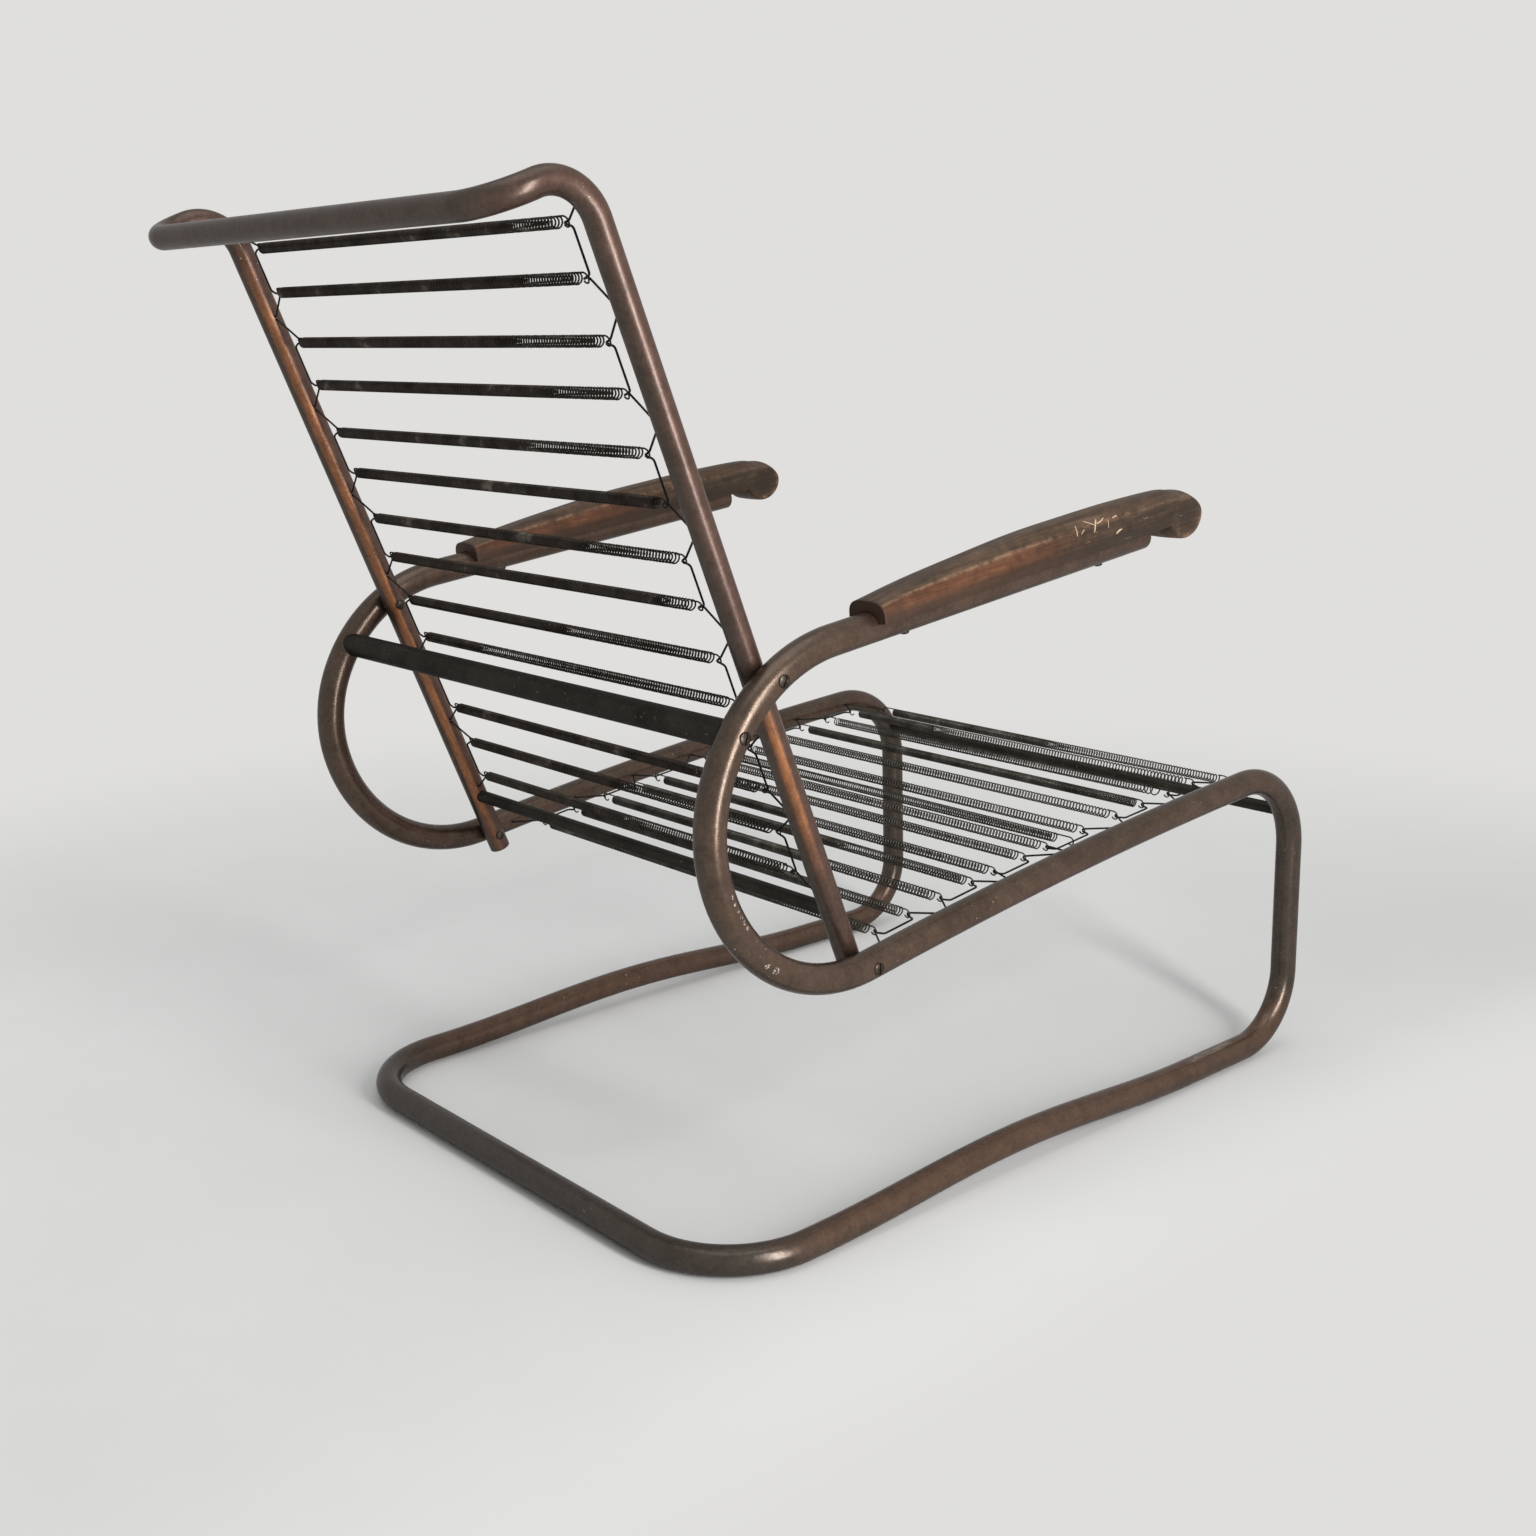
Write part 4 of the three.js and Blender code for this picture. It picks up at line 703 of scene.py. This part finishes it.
def make_crossbars():
    knee = MID_PATH.knee_end - MID_PATH.knee_start
    front = MID_PATH.at(MID_PATH.knee_start + knee * FRONT_BAR_TURN / KNEE_TURN)[0]
    places = (("rear_crossbar", REAR_BAR_POINT, HALF_WIDTH - 7, REAR_BAR_RADIUS),
              ("lower_back_crossbar", on_back(LOWER_BAR_HEIGHT)[0], BACK_HALF_WIDTH - 7, LOWER_BAR_RADIUS),
              ("front_crossbar", front, HALF_WIDTH - 8, FRONT_BAR_RADIUS))
    for name, point, half, radius in places:
        path = BentPath(point - X * half, X)
        path.line(2 * half, 12)
        bar(f"{name}_round", path.points, radius, 32, DARK_BAR, [name], None, "dark_bar")


# The springs' places, from the lowest and the rearmost
BACK_BENDS = []
centre = 113.0
for pair in range(7):
    BACK_BENDS.append((centre, [centre - 19.5, centre + 19.5], 0.0))
    centre += 78 if pair < 2 else 84
SEAT_BENDS = []
for pair in range(6):
    regular = 68.0 + 80 * pair
    middle, spread = regular - (11 if pair == 2 else 14 if pair == 3 else 0), 52 if pair == 3 else 40
    SEAT_BENDS.append((regular, [middle - spread / 2, middle + spread / 2], 0.0))
SEAT_BENDS.append((546.0, [546.0], -5.0))
EXTRA_SPRING = 291.0


def hook_line(end, tip, sign, radius):
    """From a coil's end out to its tip and round, in the plane of X and Y."""
    points = [Vector((end, radius, 0.0))]
    centre = tip - sign * radius * 0.92
    for step in range(13):
        angle = math.pi * 1.12 * step / 12
        points.append(Vector((centre + sign * radius * 0.92 * math.sin(angle), radius * math.cos(angle), 0.12 * step * SPRING_WIRE)))
    last = points[-1]
    points.append(Vector((last.x - sign * 1.6, last.y + radius * 0.35, last.z)))
    return points


def soft_step(place):
    return max(place, 0.0) + math.log(1 + math.exp(-abs(place)))


def winding(length, opened, open_pitch, stretch, stretch_turns):
    """How many turns fill the length, with every size of the winding in millimetres."""
    close, blend = 1.47, 3.0
    open_turns = max(0.0, (opened - stretch) / open_pitch)
    shift = soft_step(-open_turns / blend)

    def reach(turns):
        closed = blend * (soft_step((turns - open_turns) / blend) - shift)
        pulled = stretch * (1 - math.exp(-turns / stretch_turns))
        return close * turns + (open_pitch - close) * (turns - closed) + pulled

    turns = 1
    while reach(turns + 1) < length:
        turns += 1
    share = length / reach(turns)
    return {"Turns": turns, "Close Pitch": close * share * MM, "Open Extra": (open_pitch - close) * share * MM,
            "Open Turns": open_turns, "Blend Turns": blend, "Blend Start": shift, "End Stretch": stretch * share * MM,
            "Stretch Turns": stretch_turns}


def make_spring(name, node, point, along, normal, half, near_hook, far_hook, wound, upright, grip):
    radius = SPRING_RADIUS - SPRING_WIRE
    start, length = -half + near_hook, 2 * half - near_hook - far_hook
    hooks = [hook_line(0.0, -near_hook - grip, NEAR, radius), hook_line(length, length + far_hook + grip, FAR, radius)]
    sizes = winding(length, *wound)
    sizes.update({"Coil Radius": radius * MM, "Wire Radius": SPRING_WIRE * MM, "Material": SPRING})
    piece = grown(name, line_mesh(name, hooks), SPRING_TREE, sizes, sharp=0)
    across = normal if upright else along
    turn = Matrix((X, across, X.cross(across))).transposed().to_4x4()
    piece.data.transform(Matrix.Translation((point + X * start) * MM) @ turn)
    piece.data.update()
    return finished(piece, [node])


# Each spring's open length from its near end and the pitch there, then how far its first
# turns are pulled out and over how many turns
BACK_WOUND = [(220, 3.3, 6, 10), (200, 3.5, 5, 10), (80, 3.3, 0, 10), (200, 3.5, 0, 10), (360, 3.3, 4, 10),
              (200, 3.1, 6, 10), (40, 4.2, 0, 10), (120, 3.3, 8, 10), (0, 3.3, 0, 10), (155, 3.2, 7, 10),
              (90, 3.3, 4, 10), (120, 3.3, 3, 10), (80, 3.3, 2, 10), (70, 3.4, 6, 10)]
SEAT_WOUND = [(120, 3.5, 0, 10), (120, 3.2, 0, 10), (140, 3.6, 0, 10), (160, 3.1, 0, 10), (260, 3.4, 3, 10),
              (900, 3.4, 0, 10), (900, 3.7, 0, 10), (900, 3.05, 0, 10), (900, 3.65, 3, 10), (900, 3.65, 4, 10),
              (75, 1.95, 0, 10), (900, 3.35, 11, 1.2), (340, 3.7, 10, 14), (220, 3.3, 2, 10)]


def make_springs():
    half = BACK_HALF_WIDTH - BACK_REACH
    number = 0
    for _, hooks, _ in BACK_BENDS:
        for hook in hooks:
            point, along, normal = on_back(hook)
            wound = BACK_WOUND[number]
            number += 1
            make_spring(f"back_spring_{number:02d}_wound", f"back_spring_{number:02d}", point, along, normal, half, 9.0, 6.0,
                        wound, False, 2.0)
    half = HALF_WIDTH - SEAT_REACH
    places = [(hook, drop, False) for _, hooks, drop in SEAT_BENDS for hook in hooks] + [(EXTRA_SPRING, 0.0, True)]
    for number, (hook, drop, linked) in enumerate(sorted(places), 1):
        point, along, normal = on_seat(hook)
        extra = HOLDER_JOG if linked else 0.0
        make_spring(f"seat_spring_{number:02d}_wound", f"seat_spring_{number:02d}", point + normal * drop, along, normal,
                    half + extra, 9.0 + extra, 18.0 + extra, SEAT_WOUND[number - 1], True, 3.4 if linked else 2.0)


def eased(points, radius=2.2, pieces=4):
    """A line whose corners are rounded."""
    line = [points[0]]
    for before, corner, after in zip(points, points[1:], points[2:]):
        back, ahead = before - corner, after - corner
        reach = min(radius, back.length * 0.45, ahead.length * 0.45)
        first, last = corner + back.normalized() * reach, corner + ahead.normalized() * reach
        for piece in range(pieces + 1):
            share = piece / pieces
            line.append(first * (1 - share) ** 2 + corner * 2 * share * (1 - share) + last * share ** 2)
    line.append(points[-1])
    return line


def holder_line(bends, ends, at, half, tube_radius, reach, side_step, sign):
    points = []

    def put(inset, distance, lift):
        point, _, normal = at(distance)
        points.append(point + X * sign * (half - inset) + normal * lift)

    deep, link = tube_radius - 5, reach - (HOLDER_JOG if sign == NEAR else FAR_JOG)
    for (_, hooks, drop), (below, above) in zip(bends, ends):
        over, under = drop + side_step, drop - side_step
        put(deep, below + 1.1, 0)
        put(tube_radius + 1.2, below + 1.1, 0)
        put(reach, hooks[0], over)
        put(reach, hooks[0], under)
        if len(hooks) > 1:
            put(link, hooks[0] + 3, under)
            put(link, hooks[1] - 3, under)
            put(reach, hooks[1], under)
            put(reach, hooks[1], over)
        put(tube_radius + 1.2, above - 1.1, 0)
        put(deep, above - 1.1, 0)
    return eased(points)


def make_wires():
    back_centres = [centre for centre, _, _ in BACK_BENDS]
    holes = [back_centres[0] - 39] + [(a + b) / 2 for a, b in zip(back_centres, back_centres[1:])] + [back_centres[-1] + 35]
    seat_centres = [centre for centre, _, _ in SEAT_BENDS[:6]]
    seat_holes = [seat_centres[0] - 40] + [centre + 40 for centre in seat_centres] + [546 + 22.0]
    for name, sign in SIDES:
        line = holder_line(BACK_BENDS, list(zip(holes, holes[1:])), on_back, BACK_HALF_WIDTH, BACK_RADIUS, BACK_REACH, BACK_SIDE_STEP, sign)
        bar(f"back_wire_{name}_bent", line, HOLDER_WIRE, 8, WIRE, [f"back_wire_{name}"], None, "holder_wire")
        line = holder_line(SEAT_BENDS, list(zip(seat_holes, seat_holes[1:])), on_seat, HALF_WIDTH, FRAME_RADIUS, SEAT_REACH, SEAT_SIDE_STEP, sign)
        bar(f"seat_wire_{name}_bent", line, HOLDER_WIRE, 8, WIRE, [f"seat_wire_{name}"], None, "holder_wire")


# Armrests, in their own lengths: a along the arm from the tube's front end, b above its axis
ARM_END, ARM_FORWARD, ARM_NORMAL = MID_PATH.at(MID_PATH.travel[-1])
ARM_UP = -ARM_NORMAL
REST_HALF_WIDTH = 19.5
REST_REAR = 330.0
REST_SIDE = 4.5
NOSE_CENTRE = (48.5, 10.0)
NOSE_REACH = (24.0, 21.0)
TOP_LINE = ((-330, 21), (-265.7, 28.6), (-167.2, 35.8), (-95.3, 37), (-31, 36.7), (29.6, 34.4), (48.5, 31))


def spline(knots, count):
    points = [Vector(knot) for knot in knots]
    points = [points[0] * 2 - points[1], *points, points[-1] * 2 - points[-2]]
    line = []
    for index in range(count + 1):
        place = index / count * (len(points) - 3)
        part = min(int(place), len(points) - 4)
        t = place - part
        a, b, c, d = points[part:part + 4]
        line.append(0.5 * (2 * b + (c - a) * t + (2 * a - 5 * b + 4 * c - d) * t ** 2 + (3 * b - a - 3 * c + d) * t ** 3))
    return line


def smooth_share(value, low, high):
    share = min(1.0, max(0.0, (value - low) / (high - low)))
    return share * share * (3 - 2 * share)


def body_share(a, z):
    """How much of its full height the armrest keeps at a share z of its half width."""
    squareness = 3.4 - 0.8 * smooth_share(a, -325, -200)
    return max((1 - abs(z) ** squareness) ** (1 / squareness), 0.14 * smooth_share(a, -60, 20))


def cheek_share(z):
    """The same around the nose, whose flat cheeks end in a rounded rim."""
    rim = max(0.0, (abs(z) - 0.8) / 0.2)
    return 1 - 0.03 * z * z - 0.14 * (1 - math.sqrt(max(0.0, 1 - rim * rim)))


def nose_part(a, b):
    """0 along the arm and on top of the nose, 1 from its front round to its underside."""
    if a < 20 or (a < NOSE_CENTRE[0] and b > NOSE_CENTRE[1]):
        return 0.0
    turn = math.degrees(math.atan2((a - NOSE_CENTRE[0]) / NOSE_REACH[0], (b - NOSE_CENTRE[1]) / NOSE_REACH[1])) % 360
    return smooth_share(turn, 8, 95)


def armrest_mesh(name):
    """The side outline, drawn across the width and drawn in towards both sides: a full rounded
    crown along the arm, and a knob with flat cheeks and a rounded rim at the nose."""
    across_count = 44
    outline = [(-REST_REAR, REST_SIDE + (21 - REST_SIDE) * step / 6) for step in range(6)]
    outline += [tuple(point) for point in spline(TOP_LINE, 74)]
    last = math.pi + math.asin((NOSE_CENTRE[1] - REST_SIDE) / NOSE_REACH[1])
    for step in range(1, 49):
        angle = math.pi / 2 - (math.pi / 2 + last) * step / 48
        outline.append((NOSE_CENTRE[0] + NOSE_REACH[0] * math.cos(angle), NOSE_CENTRE[1] + NOSE_REACH[1] * math.sin(angle)))
    corner = outline[-1][0]
    outline += [(corner + (-REST_REAR - corner) * step / 60, REST_SIDE) for step in range(1, 60)]
    mesh = bpy.data.meshes.new(name)
    shape = bmesh.new()
    grid = []
    for station in range(across_count + 1):
        angle = math.radians(87) * (2 * station / across_count - 1)
        z = math.sin(angle) / math.sin(math.radians(87))
        ring = []
        for a, b in outline:
            nose = nose_part(a, b)
            share = body_share(a, z) * (1 - nose) + cheek_share(z) * nose
            if a < corner + 0.01 and abs(b - REST_SIDE) < 0.01:
                pull = smooth_share(a, corner - 14, corner) * (1 - cheek_share(z))
                a, b = a + (NOSE_CENTRE[0] - corner) * pull, b + (NOSE_CENTRE[1] - REST_SIDE) * pull
            else:
                core_a, core_b = a + (NOSE_CENTRE[0] - a) * nose, REST_SIDE + (NOSE_CENTRE[1] - REST_SIDE) * nose
                a, b = core_a + (a - core_a) * share, core_b + (b - core_b) * share
            ring.append(shape.verts.new(Vector((a, b, z * REST_HALF_WIDTH)) * MM))
        grid.append(ring)
    total = len(outline)
    for first, second in zip(grid, grid[1:]):
        for place in range(total):
            after = (place + 1) % total
            shape.faces.new((first[place], first[after], second[after], second[place]))
    shape.faces.new(grid[0][::-1])
    shape.faces.new(grid[-1])
    bmesh.ops.recalc_face_normals(shape, faces=shape.faces)
    shape.to_mesh(mesh)
    shape.free()
    return mesh


def make_armrests():
    groove = bpy.data.meshes.new("groove")
    shape = bmesh.new()
    bmesh.ops.create_cone(shape, cap_ends=True, segments=64, radius1=12.8 * MM, radius2=12.8 * MM, depth=(REST_REAR + 24) * MM,
                          matrix=Matrix.Translation(Vector((-(REST_REAR + 24) / 2 + PLUG_EDGE + 1.5, 0, 0)) * MM) @ Matrix.Rotation(math.radians(90), 4, "Y"))
    shape.to_mesh(groove)
    shape.free()
    cutter = bpy.data.objects.new("groove", groove)
    bpy.context.scene.collection.objects.link(cutter)
    for name, sign in SIDES:
        piece = bpy.data.objects.new(f"armrest_{name}_shaped", armrest_mesh(f"armrest_{name}_shaped"))
        bpy.context.scene.collection.objects.link(piece)
        cut = piece.modifiers.new("groove", "BOOLEAN")
        cut.object, cut.operation, cut.solver = cutter, "DIFFERENCE", "EXACT"
        soften = piece.modifiers.new("edges", "BEVEL")
        soften.width, soften.segments, soften.limit_method, soften.angle_limit = 1.1 * MM, 3, "ANGLE", math.radians(50)
        graph = bpy.context.evaluated_depsgraph_get()
        mesh = bpy.data.meshes.new_from_object(piece.evaluated_get(graph), depsgraph=graph)
        piece.modifiers.clear()
        piece.data = mesh
        spot = mesh.attributes.new("arm_spot", "FLOAT_VECTOR", "POINT")
        spot.data.foreach_set("vector", [number for vertex in mesh.vertices for number in vertex.co])
        turn = Matrix((ARM_FORWARD, ARM_UP, ARM_FORWARD.cross(ARM_UP))).transposed().to_4x4()
        mesh.transform(Matrix.Translation((ARM_END + X * sign * HALF_WIDTH) * MM) @ turn)
        mesh.materials.clear()
        mesh.materials.append(WOOD)
        for face in mesh.polygons:
            face.use_smooth = True
        mesh.set_sharp_from_angle(angle=math.radians(48))
        finished(piece, [f"armrest_{name}"])
    bpy.data.objects.remove(cutter)


def head_mesh(name, radius, height, slot_width, slot_depth):
    """A domed slotted head that faces +Z, with a short neck under it."""
    shape = bmesh.new()
    sides = 28
    levels = [(radius * 0.55, -1.2), (radius, -0.6), (radius, height * 0.25)]
    for step in range(1, 6):
        angle = math.radians(90) * step / 6
        levels.append((radius * math.cos(angle), height * (0.25 + 0.75 * math.sin(angle))))
    rings = [[shape.verts.new(Vector((r * math.cos(2 * math.pi * side / sides), r * math.sin(2 * math.pi * side / sides), z)) * MM)
              for side in range(sides)] for r, z in levels]
    for low, high in zip(rings, rings[1:]):
        for side in range(sides):
            after = (side + 1) % sides
            shape.faces.new((low[side], low[after], high[after], high[side]))
    shape.faces.new(rings[0][::-1])
    shape.faces.new(rings[-1])
    mesh = bpy.data.meshes.new(name)
    shape.to_mesh(mesh)
    shape.free()
    made = bpy.data.objects.new(name, mesh)
    bpy.context.scene.collection.objects.link(made)
    if slot_width:
        slot = bpy.data.meshes.new("slot")
        box = bmesh.new()
        bmesh.ops.create_cube(box, size=1.0, matrix=Matrix.Translation(Vector((0, 0, height)) * MM)
                              @ Matrix.Diagonal(Vector((radius * 3, slot_width, slot_depth * 2)) * MM).to_4x4())
        box.to_mesh(slot)
        box.free()
        cutter = bpy.data.objects.new("slot", slot)
        bpy.context.scene.collection.objects.link(cutter)
        cut = made.modifiers.new("slot", "BOOLEAN")
        cut.object, cut.operation, cut.solver = cutter, "DIFFERENCE", "EXACT"
        graph = bpy.context.evaluated_depsgraph_get()
        made.data = bpy.data.meshes.new_from_object(made.evaluated_get(graph), depsgraph=graph)
        made.modifiers.clear()
        bpy.data.objects.remove(cutter)
    return made


def heads(name, nodes, head, places):
    mesh = bpy.data.meshes.new(name)
    mesh.from_pydata([point * MM for point, _, _ in places], [], [])
    for key, index in (("facing", 1), ("slot", 2)):
        flat = [number for place in places for number in place[index]]
        mesh.attributes.new(key, "FLOAT_VECTOR", "POINT").data.foreach_set("vector", flat)
    piece = grown(name, mesh, SCREW_TREE, {"Head": head, "Material": SCREW}, sharp=35)
    bpy.data.objects.remove(head)
    return finished(piece, nodes)


def back_crossing():
    run = MID_PATH.loop_end - MID_PATH.loop_upper
    points = [MID_PATH.at(MID_PATH.loop_upper + run * share / 400)[0] for share in range(401)]
    return min(points, key=lambda point: abs((point - BACK_FOOT_POINT).dot(BACK_NORMAL)))


def make_screws():
    upper, outer = back_crossing(), HALF_WIDTH + FRAME_RADIUS
    side_places, side_nodes, nut_places, nut_nodes, wood_places, wood_nodes = [], [], [], [], [], []
    for name, sign in SIDES:
        for key, point, angle in (("back_upper", upper, 118), ("back_lower", LOOP_START, 93), ("rear_bar", REAR_BAR_POINT, 105)):
            slot = Vector((0, math.cos(math.radians(angle)), math.sin(math.radians(angle))))
            side_places.append((point + X * sign * (outer - 0.1), X * sign, slot))
            side_nodes.append(f"{key}_screw_{name}")
            if key != "rear_bar":
                inner = BACK_HALF_WIDTH - BACK_RADIUS
                nut_places.append((point + X * sign * (inner + 0.1), -X * sign, Y))
                nut_nodes.append(f"{key}_nut_{name}")
        for key, back in (("front", 54.0), ("rear", 292.0)):
            point = ARM_END + X * sign * HALF_WIDTH - ARM_FORWARD * back - ARM_UP * (FRAME_RADIUS - 0.1)
            wood_places.append((point, -ARM_UP, ARM_FORWARD))
            wood_nodes.append(f"armrest_screw_{key}_{name}")
    heads("side_screw_heads", side_nodes, head_mesh("side_head", 5.2, 1.5, 1.4, 1.2), side_places)
    heads("bolt_nuts", nut_nodes, head_mesh("nut_head", 4.5, 2.7, 0, 0), nut_places)
    heads("armrest_screw_heads", wood_nodes, head_mesh("wood_head", 4.0, 2.1, 1.2, 1.1), wood_places)


PALE = (0.745, 0.738, 0.722)


def seen_rays(tree):
    """1 for the rays that show the background as it is seen, directly or in metal."""
    rays = tree.nodes.new("ShaderNodeLightPath")
    total = rays.outputs["Is Camera Ray"]
    for other in ("Is Glossy Ray", "Is Transmission Ray"):
        made = tree.nodes.new("ShaderNodeMath")
        made.operation = "MAXIMUM"
        tree.links.new(total, made.inputs[0])
        tree.links.new(rays.outputs[other], made.inputs[1])
        total = made.outputs[0]
    return total


def make_floor_and_light():
    floor_mesh = bpy.data.meshes.new("floor")
    shape = bmesh.new()
    bmesh.ops.create_grid(shape, x_segments=1, y_segments=1, size=40.0)
    shape.to_mesh(floor_mesh)
    shape.free()
    floor = bpy.data.objects.new("floor", floor_mesh)
    floor_mesh.transform(Matrix.Translation((0, 0, -0.0006)))
    bpy.context.scene.collection.objects.link(floor)
    made = Finish("pale_floor")
    here = made.place()
    tone = made.ramp(made.noise(here, 3.0, 4.0), (0.3, (0.79, 0.785, 0.77)), (0.7, (0.83, 0.825, 0.81)))
    across = made.node("ShaderNodeSeparateXYZ", {0: here}).outputs[0]
    # Painted shade: the floor is darker towards the window lamp, to even out its pool of light
    even = made.ramp(made.band(across, -0.4, 0.5), (0.0, 0.8), (1.0, 1.0))
    made.set(color=made.mix(1.0, tone, even, "MULTIPLY"), rough=0.85, specular=0.2)
    distance = made.node("ShaderNodeVectorMath", {0: here}, operation="LENGTH").outputs["Value"]
    fade = made.math("MULTIPLY", made.math("MAXIMUM", made.band(distance, 0.62, 1.9), made.band(across, -0.31, -0.52)), seen_rays(made.tree))
    far = made.node("ShaderNodeEmission", {"Color": (*PALE, 1.0)})
    both = made.node("ShaderNodeMixShader", {0: fade, 1: made.shader.outputs[0], 2: far.outputs[0]})
    made.tree.links.new(both.outputs[0], made.tree.nodes["Material Output"].inputs["Surface"])
    floor_mesh.materials.append(made.material)
    world = bpy.data.worlds.new("studio")
    bpy.context.scene.world = world
    world.use_nodes = True
    tree = world.node_tree
    soft = tree.nodes["Background"]
    soft.inputs["Color"].default_value = (0.97, 0.985, 1.0, 1)
    soft.inputs["Strength"].default_value = 0.52
    seen = tree.nodes.new("ShaderNodeBackground")
    seen.inputs["Color"].default_value = (*PALE, 1)
    seen.inputs["Strength"].default_value = 1.0
    pick = tree.nodes.new("ShaderNodeMixShader")
    tree.links.new(seen_rays(tree), pick.inputs[0])
    tree.links.new(soft.outputs[0], pick.inputs[1])
    tree.links.new(seen.outputs[0], pick.inputs[2])
    tree.links.new(pick.outputs[0], tree.nodes["World Output"].inputs["Surface"])
    for name, place, target, size, power in (
            ("window", (-1.8, 0.2, 0.82), (0, 0.2, 0.82), (0.3, 1.6), 44), ("above", (-0.4, 0.3, 3.4), (0, 0.1, 0.2), (2.4, 2.4), 26)):
        data = bpy.data.lights.new(name, "AREA")
        data.shape, data.size, data.size_y, data.energy = "RECTANGLE", size[0], size[1], power
        lamp = bpy.data.objects.new(name, data)
        lamp.location = place
        lamp.rotation_euler = (Vector(target) - Vector(place)).to_track_quat("-Z", "Y").to_euler()
        bpy.context.scene.collection.objects.link(lamp)


def make_camera():
    yaw, pitch, roll = math.radians(48.6435), math.radians(-13.6377), math.radians(-0.7071)
    ahead = Vector((math.sin(yaw) * math.cos(pitch), -math.cos(yaw) * math.cos(pitch), math.sin(pitch)))
    level = ahead.cross(Z).normalized()
    upright = level.cross(ahead)
    right = level * math.cos(roll) + upright * math.sin(roll)
    up = upright * math.cos(roll) - level * math.sin(roll)
    data = bpy.data.cameras.new("camera")
    data.sensor_fit, data.sensor_width, data.lens = "HORIZONTAL", 36.0, 36.0 * 1811.51 / 1536
    data.clip_start, data.clip_end = 0.05, 60
    camera = bpy.data.objects.new("camera", data)
    place = Vector((-1254.7, REAR_BAR_Y + 800.1, 726.25)) * MM
    camera.matrix_world = Matrix.Translation(place) @ Matrix((right, up, -ahead)).transposed().to_4x4()
    bpy.context.scene.collection.objects.link(camera)
    bpy.context.scene.camera = camera


make_camera()
make_frame()
make_crossbars()
make_springs()
make_wires()
make_armrests()
make_screws()
make_floor_and_light()
bpy.context.scene.view_settings.view_transform = "Standard"
